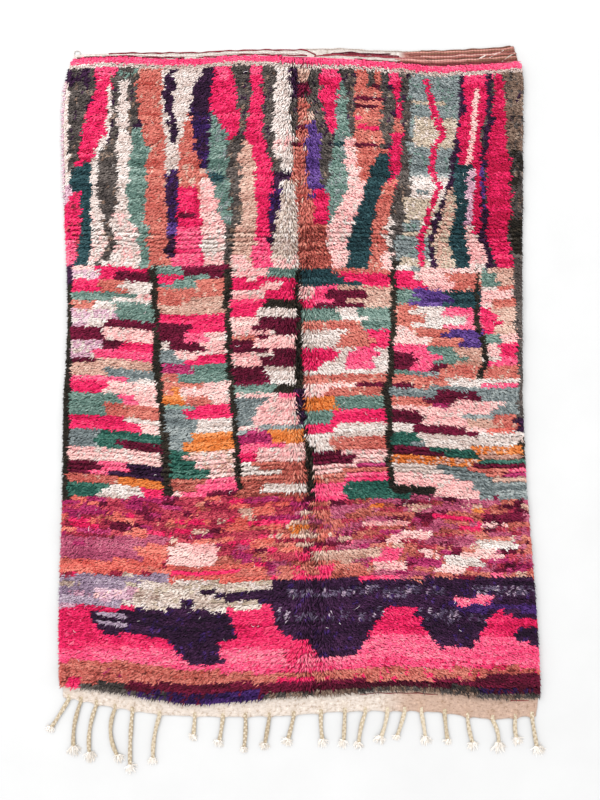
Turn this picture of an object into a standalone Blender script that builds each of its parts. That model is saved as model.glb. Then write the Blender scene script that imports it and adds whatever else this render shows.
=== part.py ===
"""A hand-knotted wool pile rug lying flat on the floor, with a plaited fringe at one end.

Metres, +Z up. The floor is Z = 0, +X runs across the rug and +Y from the fringe to the other end.
The rug is one piece of cloth: a woven ground, a thick knotted pile over most of it, and a flat woven
end beyond the pile at both ends. The fringe is the warp, plaited into short cords.
"""

import math
import random
from collections import namedtuple

import bmesh
import bpy
from mathutils import Vector
from mathutils.geometry import delaunay_2d_cdt

# Driving sizes of the cloth
GROUND = 0.0045  # thickness of the woven ground, bare at both ends
PILE_TOP = 0.021  # top of the pile above the floor
ROW = 0.0165  # from one row of knots to the next
LUMP = 0.0022  # how far the pile's soft lumps rise and dip
FOLD_DEPTH = 0.0045  # depth of the crease where the rug was folded in half lengthwise
FOLD_WIDTH = 0.030
CROSS_FOLD_DEPTH = 0.0028  # depth of the two creases across the rug
CROSS_FOLD_WIDTH = 0.035
CROSS_FOLDS = (0.55, -0.21)  # where they lie along the rug

# Driving sizes of the shaggy sides, where the end knots of each row stick out
LOCK_ROOT = 0.0130  # width of a lock at the rug's side
LOCK_TIP = 0.0055  # width at its tip
LOCK_REACH = 0.0115  # mean length past the side
LOCK_ROOT_HEIGHT = 0.0125
LOCK_TIP_HEIGHT = 0.0040
LOCK_LEAN = 0.0035  # how far a tip leans towards the fringe, as the whole pile does

# Mesh pitch of the broad surfaces
LUMP_PITCH = 0.043
EDGE_PITCH = 0.026
FOOT_TO_SHOULDER = 0.011  # the pile rises from the bare ground over this distance

# Driving sizes of the fringe
SEAM = 0.0003  # gap between the cloth's edge and the strip that carries the cords
STRIP_DEPTH = 0.008
CORD_WIDTH = 0.0135
CORD_HEIGHT = 0.0100
PLAIT = 0.0085  # length of one crossing of the plait
PLAIT_SWAY = 0.0012  # sideways swing of the plait at each crossing
TOP_SHARE = 0.55  # width of a cord's top over its width on the floor
TUFT_WIDTH = 0.029
TUFT_HEIGHT = 0.0135

SEED = 7

Side = namedtuple("Side", "along left right")
SIDES = (
    Side(-1.06, -0.790, 0.787),
    Side(-0.98, -0.794, 0.798),
    Side(-0.67, -0.807, 0.788),
    Side(-0.34, -0.803, 0.763),
    Side(0.00, -0.799, 0.751),
    Side(0.35, -0.801, 0.754),
    Side(0.69, -0.810, 0.762),
    Side(1.00, -0.811, 0.767),
    Side(1.14, -0.806, 0.768),
    Side(1.24, -0.778, 0.744),
)

# Where the cords leave the woven end, the first and last row of pile, and the edge at the far end
End = namedtuple("End", "across cord_roots pile_start pile_end far_edge")
ENDS = (
    End(-0.80, -0.989, -0.952, 1.186, 1.201),
    End(-0.62, -1.026, -0.972, 1.194, 1.209),
    End(-0.47, -1.049, -0.997, 1.187, 1.211),
    End(-0.35, -1.055, -1.012, 1.189, 1.212),
    End(-0.20, -1.057, -1.003, 1.199, 1.220),
    End(-0.05, -1.053, -0.988, 1.197, 1.222),
    End(0.15, -1.040, -0.976, 1.188, 1.224),
    End(0.30, -1.038, -0.967, 1.176, 1.216),
    End(0.45, -1.041, -0.972, 1.162, 1.217),
    End(0.63, -1.064, -0.992, 1.168, 1.225),
    End(0.80, -1.051, -0.990, 1.180, 1.238),
)

# A plaited cord: where it leaves the cloth, how far its middle and its end lie to the side of that,
# its length, and the sideways drift and length of the frayed tuft at its end
Cord = namedtuple("Cord", "root middle end length tuft_drift tuft_length")
CORDS = (
    Cord(-0.768, -0.028, -0.058, 0.094, -0.007, 0.020),
    Cord(-0.728, -0.020, -0.022, 0.148, 0.000, 0.035),
    Cord(-0.676, -0.021, -0.021, 0.157, -0.001, 0.032),
    Cord(-0.614, -0.014, 0.011, 0.154, 0.015, 0.027),
    Cord(-0.556, -0.006, -0.006, 0.176, 0.012, 0.028),
    Cord(-0.466, -0.017, -0.020, 0.142, -0.010, 0.022),
    Cord(-0.349, -0.002, -0.005, 0.060, -0.007, 0.020),
    Cord(-0.256, -0.005, -0.012, 0.077, -0.004, 0.023),
    Cord(-0.181, 0.000, -0.005, 0.099, 0.005, 0.017),
    Cord(-0.102, -0.007, -0.015, 0.088, -0.008, 0.021),
    Cord(-0.021, -0.009, -0.019, 0.077, -0.009, 0.025),
    Cord(0.070, 0.000, 0.005, 0.085, -0.003, 0.027),
    Cord(0.149, -0.002, -0.005, 0.094, -0.001, 0.025),
    Cord(0.217, -0.015, -0.023, 0.102, -0.002, 0.022),
    Cord(0.290, -0.008, -0.022, 0.082, -0.009, 0.027),
    Cord(0.347, -0.012, -0.026, 0.080, -0.003, 0.016),
    Cord(0.403, 0.007, 0.013, 0.082, 0.000, 0.028),
    Cord(0.480, 0.004, 0.009, 0.085, -0.003, 0.019),
    Cord(0.556, 0.006, 0.017, 0.085, -0.005, 0.025),
    Cord(0.639, 0.016, 0.018, 0.077, 0.006, 0.034),
    Cord(0.714, -0.001, 0.004, 0.065, 0.019, 0.025),
    Cord(0.770, 0.007, 0.015, 0.100, 0.022, 0.031),
)


def smooth(share):
    """Eases a share from 0 to 1, and holds it there past both ends."""
    share = min(max(share, 0.0), 1.0)
    return share * share * (3.0 - 2.0 * share)


def read(table, key, value, column):
    """A column of a table at a place between two rows, along a smooth curve through the rows."""
    last = len(table) - 1
    i = 0
    while i < last - 1 and getattr(table[i + 1], key) < value:
        i += 1
    rows = [table[min(max(k, 0), last)] for k in (i - 1, i, i + 1, i + 2)]
    at = [getattr(row, key) for row in rows]
    was = [getattr(row, column) for row in rows]
    span = at[2] - at[1]
    t = min(max((value - at[1]) / span, 0.0), 1.0)
    slope_in = span * (was[2] - was[0]) / (at[2] - at[0])
    slope_out = span * (was[3] - was[1]) / (at[3] - at[1])
    return (
        was[1] * (2 * t**3 - 3 * t**2 + 1)
        + slope_in * (t**3 - 2 * t**2 + t)
        + was[2] * (3 * t**2 - 2 * t**3)
        + slope_out * (t**3 - t**2)
    )


def side(name, along):
    return read(SIDES, "along", along, name)


def end(name, across):
    return read(ENDS, "across", across, name)


def cloth_edge(across):
    """The cloth's own edge at the fringe, a seam's width behind the strip that carries the cords."""
    return end("cord_roots", across) + STRIP_DEPTH + SEAM


def far_edge(across):
    return end("far_edge", across)


def dip(distance, depth, width):
    """A soft trough of this depth, gone at a width from its middle."""
    return depth * math.exp(-((distance / (0.5 * width)) ** 2))


def pile_height(x, y):
    """Top of the pile: its full height, less the creases, with uneven soft lumps."""
    lumps = (
        math.sin(31.0 * x + 7.0 * y + 1.3)
        + math.sin(43.0 * y - 11.0 * x)
        + math.sin(67.0 * x - 53.0 * y + 0.7)
    )
    wander = 0.006 * math.sin(5.0 * y) + 0.003 * math.sin(17.0 * y)
    creases = dip(x - wander, FOLD_DEPTH * (0.8 + 0.3 * math.sin(9.0 * y)), FOLD_WIDTH)
    for k, along in enumerate(CROSS_FOLDS):
        line = along + 0.012 * math.sin(3.0 * x + 2.0 * k)
        creases += dip(y - line, CROSS_FOLD_DEPTH, CROSS_FOLD_WIDTH)
    return PILE_TOP - 2.0 * LUMP + 0.6 * LUMP * lumps - creases


def ground_height(x, y):
    """Top of the bare woven ground, drawn into shallow ripples that run across the rug."""
    return GROUND + 0.0006 * math.sin(190.0 * y + 9.0 * x) + 0.0004 * math.sin(47.0 * x)


def surface(x, y):
    """Top of the cloth anywhere inside its outline."""
    start, stop = end("pile_start", x), end("pile_end", x)
    inside = min(y - start, stop - y)
    if inside <= 0.0:
        return ground_height(x, y)
    rim = min(x - side("left", y), side("right", y) - x)
    rise = smooth(inside / FOOT_TO_SHOULDER) * (0.62 + 0.38 * smooth(rim / (2.0 * LOCK_REACH)))
    return GROUND + (pile_height(x, y) - GROUND) * rise


def stops(start, stop, pitch):
    """Evenly spaced places from start to stop, both included, about a pitch apart."""
    count = max(1, round(abs(stop - start) / pitch))
    return [start + (stop - start) * k / count for k in range(count + 1)]


def strip_stops():
    """Places along the strip that carries the cords: both sides of each cord, and between."""
    half = 0.5 * CORD_WIDTH
    breaks = [CORDS[0].root - half - STRIP_DEPTH]
    for cord in CORDS:
        breaks += [cord.root - half, cord.root + half]
    breaks.append(CORDS[-1].root + half + 0.5 * STRIP_DEPTH)
    places = breaks[:1]
    for left, right in zip(breaks, breaks[1:]):
        places += stops(left, right, EDGE_PITCH)[1:]
    return places


def side_points(name, outward, draw):
    """The outline along one long side, from the fringe end up: bare, then a lock for each row."""
    x_low = side(name, cloth_edge(side(name, -1.0)))
    x_high = side(name, far_edge(side(name, 1.2)))
    bottom, top = cloth_edge(x_low), far_edge(x_high)
    start = end("pile_start", x_low) + FOOT_TO_SHOULDER
    stop = end("pile_end", x_high) - FOOT_TO_SHOULDER
    middle = 0.5 * (bottom + start)
    points = [(side(name, middle), middle, GROUND)]
    for y in stops(start, stop - ROW, ROW):
        y += draw.uniform(-0.001, 0.001)
        half, tip = 0.5 * LOCK_ROOT * draw.uniform(0.8, 1.05), 0.5 * LOCK_TIP
        reach = LOCK_REACH * draw.uniform(0.6, 1.25)
        lean = LOCK_LEAN * draw.uniform(-0.3, 1.4)
        centre = y + 0.5 * ROW
        height = LOCK_ROOT_HEIGHT * draw.uniform(0.9, 1.1)
        x_tip = side(name, centre) + outward * reach
        points += [
            (side(name, centre - half), centre - half, height),
            (x_tip, centre - lean - tip, LOCK_TIP_HEIGHT),
            (x_tip, centre - lean + tip, LOCK_TIP_HEIGHT),
            (side(name, centre + half), centre + half, height),
        ]
    middle = 0.5 * (stop + FOOT_TO_SHOULDER + top)
    return points + [(side(name, middle), middle, GROUND)], x_low, x_high


def outline(draw):
    """The cloth's whole rim as (x, y, height), anticlockwise from its corner at the fringe, on the left."""
    right, right_low, right_high = side_points("right", 1.0, draw)
    left, left_low, left_high = side_points("left", -1.0, draw)
    near = [left_low, *strip_stops(), right_low]
    far = stops(right_high, left_high, EDGE_PITCH)
    return (
        [(x, cloth_edge(x), GROUND) for x in near]
        + right
        + [(x, far_edge(x), GROUND) for x in far]
        + left[::-1]
    )


def inner_lines(draw):
    """Lines across the cloth where the pile begins and ends, each a foot on the ground and a shoulder."""
    margin = 2.0 * LOCK_REACH
    lines = []
    for name, into_pile in (("pile_start", 1.0), ("pile_end", -1.0)):
        first = side("left", end(name, -0.79)) + 0.5 * margin
        last = side("right", end(name, 0.76)) - 0.5 * margin
        for offset in (-0.001, FOOT_TO_SHOULDER):
            line = []
            for x in stops(first, last, EDGE_PITCH):
                ragged = draw.uniform(-0.0025, 0.0025)
                y = end(name, x) + into_pile * (offset + ragged)
                line.append((x, y, GROUND if offset < 0.0 else surface(x, y)))
            lines.append(line)
    return lines


def field_points(draw):
    """Scattered points of the pile's lumpy top, with a closer line along each side and the fold."""
    points = []
    lowest = min(row.pile_start for row in ENDS)
    highest = max(row.pile_end for row in ENDS)
    margin = 1.7 * FOOT_TO_SHOULDER
    for y in stops(lowest, highest, LUMP_PITCH):
        shoulder = (side("left", y) + LOCK_REACH, side("right", y) - LOCK_REACH)
        across = stops(shoulder[0] + 0.8 * LUMP_PITCH, shoulder[1] - 0.8 * LUMP_PITCH, LUMP_PITCH)
        for x in [*shoulder, *across]:
            wild = 0.0 if x in shoulder else 0.22 * LUMP_PITCH
            px, py = x + draw.uniform(-wild, wild), y + draw.uniform(-wild, wild)
            if end("pile_start", px) + margin < py < end("pile_end", px) - margin:
                points.append((px, py, surface(px, py)))
    return points


def bare_points():
    """A line of points along the middle of each bare woven end, for its ripples."""
    points = []
    for inner, outer in (("pile_start", cloth_edge), ("pile_end", far_edge)):
        for share in (0.36, 0.70):
            for x in stops(-0.76, 0.72, LUMP_PITCH):
                y = end(inner, x) + share * (outer(x) - end(inner, x))
                points.append((x, y, ground_height(x, y)))
    return points


def triangulate(rim, lines, loose):
    """Triangles over the rim's outline, as (points, triangles); the rim's points come first."""
    places, bars = list(rim), []
    for line in lines:
        first = len(places)
        places += line
        bars += [(first + k, first + k + 1) for k in range(len(line) - 1)]
    places += loose
    flat = [Vector(p[:2]) for p in places]
    found, _, triangles, origins, _, _ = delaunay_2d_cdt(flat, bars, [list(range(len(rim)))], 1, 1e-6)
    if len(found) != len(places) or any(len(o) != 1 for o in origins):
        raise ValueError("two points of the cloth coincide, or two of its lines cross")
    return places, [[origins[v][0] for v in t] for t in triangles]


def new_object(name, mesh_data, colour):
    """Links a bmesh as one object with a matt woollen material of this colour."""
    bmesh.ops.recalc_face_normals(mesh_data, faces=mesh_data.faces)
    mesh = bpy.data.meshes.new(name)
    mesh_data.to_mesh(mesh)
    mesh_data.free()
    material = bpy.data.materials.new(name + "_wool")
    material.use_nodes = True
    shader = material.node_tree.nodes["Principled BSDF"]
    shader.inputs["Base Color"].default_value = (*colour, 1.0)
    shader.inputs["Roughness"].default_value = 0.95
    shader.inputs["Metallic"].default_value = 0.0
    mesh.materials.append(material)
    made = bpy.data.objects.new(name, mesh)
    bpy.context.scene.collection.objects.link(made)
    return made


def make_rug():
    """The whole cloth as one closed solid: lumpy pile, bare woven ends, locks along both sides."""
    draw = random.Random(SEED)
    rim = outline(draw)
    lines = inner_lines(draw)
    top, top_faces = triangulate(rim, lines, field_points(draw) + bare_points())
    under_pitch = 4.0 * LUMP_PITCH
    under_loose = [
        (x, y, 0.0)
        for x in stops(-0.70, 0.66, under_pitch)
        for y in stops(-0.88, 1.08, under_pitch)
    ]
    under, under_faces = triangulate(rim, [], under_loose)

    cloth = bmesh.new()
    top_verts = [cloth.verts.new(p) for p in top]
    under_verts = [cloth.verts.new((p[0], p[1], 0.0)) for p in under]
    for face in top_faces:
        cloth.faces.new([top_verts[v] for v in face])
    for face in under_faces:
        cloth.faces.new([under_verts[v] for v in reversed(face)])
    for k in range(len(rim)):
        n = (k + 1) % len(rim)
        cloth.faces.new([top_verts[n], top_verts[k], under_verts[k], under_verts[n]])
    bmesh.ops.triangulate(cloth, faces=cloth.faces)
    return new_object("rug", cloth, (0.55, 0.12, 0.20))


def section(mesh_data, centre, heading, width, height):
    """Four points of a cord's cross-section, flat on the floor: left and right below, then above."""
    across = Vector((-heading.y, heading.x, 0.0)).normalized()
    below, above = 0.5 * width, 0.5 * width * TOP_SHARE
    return [
        mesh_data.verts.new(Vector(centre) + across * reach + Vector((0.0, 0.0, lift)))
        for reach, lift in ((-below, 0.0), (below, 0.0), (above, height), (-above, height))
    ]


def cord_place(cord, start, s):
    """A point on a cord's centre line, at the share s of its length, in a smooth bow."""
    bow = cord.middle - 0.5 * cord.end
    sideways = cord.end * s + bow * 4.0 * s * (1.0 - s)
    return Vector((start.x + sideways, start.y - cord.length * s, 0.0))


def cord_sections(cord, start):
    """(centre, width, height) for each cross-section from the strip to the frayed end."""
    crossings = max(3, round(cord.length / PLAIT))
    found = []
    for k in range(1, crossings + 1):
        s = k / crossings
        sway = PLAIT_SWAY * (1 if k % 2 else -1)
        centre = cord_place(cord, start, s) + Vector((sway, 0.0, 0.0))
        lump = 1.0 if k % 2 else 0.90
        found.append((centre, CORD_WIDTH * lump, CORD_HEIGHT * lump))
    tip = cord_place(cord, start, 1.0)
    for s, wide, high in ((0.30, 0.78, 1.00), (0.62, 1.00, 0.90), (0.86, 0.88, 0.62), (1.00, 0.52, 0.26)):
        centre = tip + Vector((cord.tuft_drift * s, -cord.tuft_length * s, 0.0))
        found.append((centre, TUFT_WIDTH * wide, TUFT_HEIGHT * high))
    return found


def join_rings(mesh_data, first, second):
    for k in range(4):
        n = (k + 1) % 4
        mesh_data.faces.new([first[k], first[n], second[n], second[k]])


def make_fringe():
    """The plaited cords, fused at their roots into a narrow strip along the cloth's edge."""
    strip = bmesh.new()
    places = strip_stops()
    roots = {}
    rings = []
    for x in places:
        front = end("cord_roots", x)
        back = front + STRIP_DEPTH
        corners = ((front, 0.0), (front, GROUND), (back, GROUND), (back, 0.0))
        rings.append([strip.verts.new((x, y, z)) for y, z in corners])
    for k in range(len(rings) - 1):
        a, b = rings[k], rings[k + 1]
        middle = 0.5 * (places[k] + places[k + 1])
        cord = next((c for c in CORDS if abs(c.root - middle) < 0.1 * CORD_WIDTH), None)
        for j in range(4):
            if j == 0 and cord is not None:
                roots[cord] = (a[0], b[0], b[1], a[1])
                continue
            n = (j + 1) % 4
            strip.faces.new([a[j], b[j], b[n], a[n]])
    strip.faces.new(rings[0])
    strip.faces.new(rings[-1])
    for cord, ring in roots.items():
        start = Vector((cord.root, 0.5 * (ring[0].co.y + ring[1].co.y), 0.0))
        previous, was = list(ring), start
        for centre, width, height in cord_sections(cord, start):
            heading = was - centre
            current = section(strip, centre, heading, width, height)
            current = [current[1], current[0], current[3], current[2]]
            join_rings(strip, previous, current)
            previous, was = current, centre
        strip.faces.new(previous)
    bmesh.ops.triangulate(strip, faces=strip.faces)
    return new_object("fringe", strip, (0.80, 0.72, 0.62))


def centre_on_floor(objects):
    """Moves the meshes together so that the origin is the middle of their box, on the floor."""
    places = [v.co for made in objects for v in made.data.vertices]
    low = Vector(min(p[k] for p in places) for k in range(3))
    high = Vector(max(p[k] for p in places) for k in range(3))
    middle = 0.5 * (low + high)
    for made in objects:
        for v in made.data.vertices:
            v.co -= Vector((middle.x, middle.y, 0.0))


for old in list(bpy.data.objects):
    bpy.data.objects.remove(old)

centre_on_floor([make_rug(), make_fringe()])
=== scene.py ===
# %% [markdown]
# # A Boujaad rug, knot by knot
#
# A Boujaad is a thick wool rug, knotted by hand on an upright loom. Its ground is a plain weave of
# undyed wool. Row by row, the weaver ties short lengths of dyed yarn round pairs of warps, beats a
# few wefts down on them, and shears the ends to a soft pile. Both ends are flat weave, and the warp
# is plaited into short cords at one end.
#
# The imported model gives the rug's place and size. This lesson dresses it: the ground becomes a real
# sheet of cloth, every knot gets five tufts of yarn of its own, and every cord its three strands.

# %% Load the frame
import math
from collections import namedtuple

import bpy
import numpy as np
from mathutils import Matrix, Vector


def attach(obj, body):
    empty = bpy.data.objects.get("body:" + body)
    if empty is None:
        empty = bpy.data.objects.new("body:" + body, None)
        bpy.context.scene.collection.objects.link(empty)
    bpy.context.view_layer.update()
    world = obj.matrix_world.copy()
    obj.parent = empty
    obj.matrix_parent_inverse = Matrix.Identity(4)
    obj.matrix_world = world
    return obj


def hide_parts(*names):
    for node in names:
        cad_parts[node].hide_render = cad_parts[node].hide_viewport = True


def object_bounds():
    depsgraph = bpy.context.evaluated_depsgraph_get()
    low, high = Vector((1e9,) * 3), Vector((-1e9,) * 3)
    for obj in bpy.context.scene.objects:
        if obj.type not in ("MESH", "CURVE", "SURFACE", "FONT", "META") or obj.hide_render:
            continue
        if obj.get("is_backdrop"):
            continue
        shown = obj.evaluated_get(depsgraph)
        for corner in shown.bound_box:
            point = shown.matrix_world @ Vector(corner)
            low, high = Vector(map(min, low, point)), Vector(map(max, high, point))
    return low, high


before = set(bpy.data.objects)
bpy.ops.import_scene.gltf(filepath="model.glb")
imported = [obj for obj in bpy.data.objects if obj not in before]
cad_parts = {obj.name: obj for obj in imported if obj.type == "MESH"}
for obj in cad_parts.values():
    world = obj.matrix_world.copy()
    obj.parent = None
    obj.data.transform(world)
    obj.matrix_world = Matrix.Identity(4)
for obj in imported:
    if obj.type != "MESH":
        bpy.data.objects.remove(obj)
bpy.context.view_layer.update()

# %% [markdown]
# ## The outline of the cloth
#
# No hand-made rug is a true rectangle. This one is 1.58 m wide and 2.27 m long, wider near the
# fringe, and both its ends run in slow waves. It could be drawn with one long list of points. A few
# measured places with a smooth curve through them are easier to read and to change, and the same
# curves then place the knots, the weave and the cords.

# %% Measured places
def table(name, columns, words):
    """Named rows of numbers, one for each line of words."""
    Row = namedtuple(name, columns)
    return [Row(*map(float, line.split())) for line in words.strip().splitlines()]


GROUND = 0.0045  # thickness of the woven ground
PILE_TOP = 0.021  # top of the pile above the floor, before its lumps and creases
LUMP = 0.0022
FOLD_DEPTH = 0.0070  # the crease where the rug was folded in half lengthwise
FOLD_WIDTH = 0.026
FOLD_PLACES = table("Fold", "along across", """
    -1.0 0.048
    -0.6 0.043
    -0.4 0.036
    -0.2 0.016
    0.2 0.008
    0.5 -0.007
    1.2 -0.003
""")
CROSS_FOLD_DEPTH = 0.0028
CROSS_FOLD_WIDTH = 0.035
CROSS_FOLDS = (0.55, -0.21)
WRINKLE_DEPTH = 0.0070  # short wrinkles beside the lengthwise crease
WRINKLE_WIDTH = 0.0065
WRINKLES = table("Wrinkle", "along bow left right", """
    0.612 0.006 0.030 0.095
    0.570 -0.003 -0.005 0.095
    0.560 -0.034 0.015 0.100
    0.520 0.004 -0.010 0.035
""")
SIDES = table("Side", "along left right", """
    -1.06 -0.786 0.784
    -0.98 -0.790 0.794
    -0.67 -0.797 0.784
    -0.34 -0.792 0.763
    0.00 -0.793 0.751
    0.15 -0.786 0.752
    0.35 -0.785 0.754
    0.69 -0.803 0.762
    1.00 -0.813 0.767
    1.14 -0.800 0.768
    1.24 -0.778 0.744
""")
ENDS = table("End", "across cord_roots pile_start pile_end far_edge", """
    -0.80 -0.989 -0.952 1.186 1.201
    -0.62 -1.026 -0.972 1.194 1.209
    -0.47 -1.049 -0.997 1.187 1.211
    -0.35 -1.055 -1.012 1.189 1.212
    -0.20 -1.057 -1.003 1.199 1.220
    -0.05 -1.053 -0.988 1.197 1.222
    0.15 -1.040 -0.976 1.188 1.224
    0.30 -1.038 -0.967 1.176 1.216
    0.45 -1.041 -0.972 1.162 1.217
    0.63 -1.064 -0.992 1.168 1.225
    0.80 -1.051 -0.990 1.180 1.238
""")

# %% A smooth curve through a table
def read(rows, key, column, value):
    """A column of a table at any places, along a smooth curve through its rows."""
    at = np.array([getattr(row, key) for row in rows])
    was = np.array([getattr(row, column) for row in rows])
    i = np.clip(np.searchsorted(at, value) - 1, 0, len(at) - 2)
    before, after = np.maximum(i - 1, 0), np.minimum(i + 2, len(at) - 1)
    span = at[i + 1] - at[i]
    t = np.clip((value - at[i]) / span, 0.0, 1.0)
    slope_in = span * (was[i + 1] - was[before]) / (at[i + 1] - at[before])
    slope_out = span * (was[after] - was[i]) / (at[after] - at[i])
    return (
        was[i] * (2 * t**3 - 3 * t**2 + 1)
        + slope_in * (t**3 - 2 * t**2 + t)
        + was[i + 1] * (3 * t**2 - 2 * t**3)
        + slope_out * (t**3 - t**2)
    )


def side(name, along):
    return read(SIDES, "along", name, along)


def end(name, across):
    return read(ENDS, "across", name, across)


print("The curve gives the right side at the middle as", round(float(side("right", 0.1)), 4))

# %% Fit the measured places to the frame
# The tables count from their own zero. The frame's zero is the middle of the rug's box, so the
# far right corner of the cloth, which both know, gives the step from one to the other.
corner = max((v.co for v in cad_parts["rug"].data.vertices), key=lambda place: place.y)
corner_x = SIDES[-1].right
for _ in range(8):
    corner_x = float(side("right", end("far_edge", corner_x)))
STEP = np.array([corner.x - corner_x, corner.y - float(end("far_edge", corner_x)), 0.0])
print("Step from the tables to the frame:", STEP.round(4))

# %% Lumps and creases
def bell(distance, width):
    """1 in the middle, and next to nothing at twice the width from it."""
    return np.exp(-((distance / width) ** 2))


def fold_line(y):
    """Where the lengthwise crease lies across the rug."""
    along, place = zip(*FOLD_PLACES)
    return np.interp(y, along, place) + 0.002 * np.sin(17.0 * y)


def wrinkled(x, y):
    """1 at the bottom of a short wrinkle, 0 away from them."""
    total = 0.0
    for along, bow, left, right in WRINKLES:
        share = 2.0 * (x - left) / (right - left) - 1.0
        line = along + bow * (1.0 - np.clip(share, -1.0, 1.0) ** 2) + 0.002 * np.sin(90.0 * x)
        total = total + bell(y - line, 0.5 * WRINKLE_WIDTH) * np.exp(-(share**6))
    return np.minimum(total, 1.0)


def pile_height(x, y):
    """Top of the pile: its full height, less the creases, with uneven soft lumps."""
    lumps = np.sin(31.0 * x + 7.0 * y + 1.3) + np.sin(43.0 * y - 11.0 * x)
    lumps = lumps + np.sin(67.0 * x - 53.0 * y + 0.7)
    depth = FOLD_DEPTH * (0.8 + 0.3 * np.sin(9.0 * y))
    creases = depth * bell(x - fold_line(y), 0.5 * FOLD_WIDTH)
    for k, along in enumerate(CROSS_FOLDS):
        line = along + 0.012 * np.sin(3.0 * x + 2.0 * k)
        creases = creases + CROSS_FOLD_DEPTH * bell(y - line, 0.5 * CROSS_FOLD_WIDTH)
    creases = creases + WRINKLE_DEPTH * wrinkled(x, y)
    return PILE_TOP - 2.0 * LUMP + 0.6 * LUMP * lumps - creases


def ground_height(x, y):
    """Top of the bare weave, drawn into shallow ripples that run across the rug."""
    return GROUND + 0.0006 * np.sin(190.0 * y + 9.0 * x) + 0.0004 * np.sin(47.0 * x)


print("The pile stands", round(1000 * float(pile_height(0.4, 0.0)), 1), "mm high right of the middle")

# %% [markdown]
# ## The yarns
#
# The pile is leftover yarn of over two dozen dyes: hot pinks, dusty reds, creams, greens, and purples
# so dark that they look black. Home-dyed wool never takes its dye evenly, so each yarn is given
# three shades, for its thirsty stretches, its common colour and its pale ones.

# %% The yarns and their shades
# Three numbers for each shade, red, green and blue, from 0 to 255
SHADE_WORDS = """
    crimson 176 6 58 235 33 98 249 82 122
    rose 226 40 98 246 88 132 253 142 162
    blush 222 142 144 242 190 186 250 218 210
    cream 186 160 150 222 205 198 243 235 230
    oatmeal 158 134 114 193 174 154 220 204 184
    lilac 180 124 148 212 170 186 238 208 218
    terracotta 172 68 60 202 109 98 226 140 124
    rust 92 28 26 179 84 74 224 142 124
    tan 174 120 104 208 163 147 234 202 185
    charcoal 40 35 35 76 68 65 118 108 103
    taupe 76 57 48 128 103 89 166 144 128
    olive 15 13 10 36 30 23 62 53 43
    plum 58 2 24 94 8 41 132 24 62
    aubergine 24 6 27 45 15 47 74 38 75
    indigo 28 8 48 52 22 84 84 48 118
    heather 52 38 62 84 70 94 124 108 132
    lavender 124 100 124 160 138 158 200 182 196
    violet 52 28 86 89 57 130 124 92 162
    teal 14 34 40 30 62 68 62 94 99
    sage 68 96 88 107 134 124 150 172 162
    emerald 18 60 52 40 94 81 88 132 118
    slate 84 92 94 123 133 134 174 180 178
    orange 186 84 28 222 121 54 242 160 100
    magenta 124 16 66 168 34 92 206 78 128
    mauve 138 48 80 181 80 111 208 120 142
    brick 188 64 60 224 108 97 240 146 128
    garnet 104 14 38 172 44 72 212 88 100
    silver 140 108 96 213 192 179 240 228 218
"""


def groups_of_three(words):
    """Numbers from words, three by three."""
    values = [float(word) for word in words]
    return [tuple(values[k : k + 3]) for k in range(0, len(values), 3)]


def shades(words):
    """The dark, common and pale shade of each yarn, by its name."""
    lines = [line.split() for line in words.strip().splitlines()]
    return {name: groups_of_three(levels) for name, *levels in lines}


def linear(shade):
    """An 8-bit colour as the linear light that Blender mixes."""
    share = np.array(shade) / 255.0
    return np.where(share <= 0.04045, share / 12.92, ((share + 0.055) / 1.055) ** 2.4)


YARNS = shades(SHADE_WORDS)
NAMES = list(YARNS)
# Pale yarns get less painted shade at the root, as light shows through them down to the root.
PALE = ("blush", "cream", "oatmeal", "lilac", "tan", "silver")
print(len(NAMES), "yarns:", ", ".join(NAMES))

# %% [markdown]
# ## Rows of knots
#
# A row of knots lies every 15 mm, and knots sit 7 mm apart along it. The rows bow with the ends of
# the rug, so each row is a share of the way from the far end of the pile to the near end. Every
# knot is one cell of a table, and the pattern is then painted into that table, as on a weaver's
# point paper. A picture laid over the rug would be quicker, but it would have no knots in it.

# %% Set out the knots
ROW = 0.015
KNOT = 0.007
FIRST_INSET = 0.0150  # from the far end of the pile to its first full row of knots
LAST_INSET = 0.018  # from the last row of knots to where its ends reach
SIDE_INSET = 0.002
LEFT, WIDTH = -0.8, 1.57  # the cloth's left side and its width, roughly
CHART_TOP = 1.17  # the chart counts down from here
CHART_LEFT = -0.0005
TIP_DROP = 0.0045  # the ends of a knot show this far below it
TIP_SPREAD = 0.010  # and this far out to its side, away from the middle of the rug

draw = np.random.default_rng(7)


def first_row(x):
    return end("pile_end", x) - FIRST_INSET


def last_row(x):
    return end("pile_start", x) + LAST_INSET


def across_cloth(share, y):
    """The place at a share of the cloth's width, from its left side to its right."""
    left, right = side("left", y) + SIDE_INSET, side("right", y) - SIDE_INSET
    return left + (right - left) * share


over_the_width = np.linspace(-0.78, 0.74, 50)
ROWS = round(float(np.mean(first_row(over_the_width) - last_row(over_the_width))) / ROW)
KNOTS = round(WIDTH / KNOT)
row_share = (np.arange(ROWS) / (ROWS - 1))[:, None]
knot_share = ((np.arange(KNOTS) + 0.5) / KNOTS)[None, :]
knot_x = np.broadcast_to(LEFT + WIDTH * knot_share, (ROWS, KNOTS))
# The rows bow with x and the sides with y, so each is worked out again from the other.
for _ in range(3):
    knot_y = first_row(knot_x) + (last_row(knot_x) - first_row(knot_x)) * row_share
    knot_x = across_cloth(knot_share, knot_y)

across = 100.0 * (knot_x + CHART_LEFT + TIP_SPREAD * np.tanh(knot_x / 0.10))
down = 100.0 * (CHART_TOP - knot_y + TIP_DROP)
chart = np.full((ROWS, KNOTS), -1)
lined = np.zeros((ROWS, KNOTS))  # 1 where a line one row deep stands clear of its neighbours
print(ROWS, "rows of", KNOTS, "knots:", ROWS * KNOTS, "in all")

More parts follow.
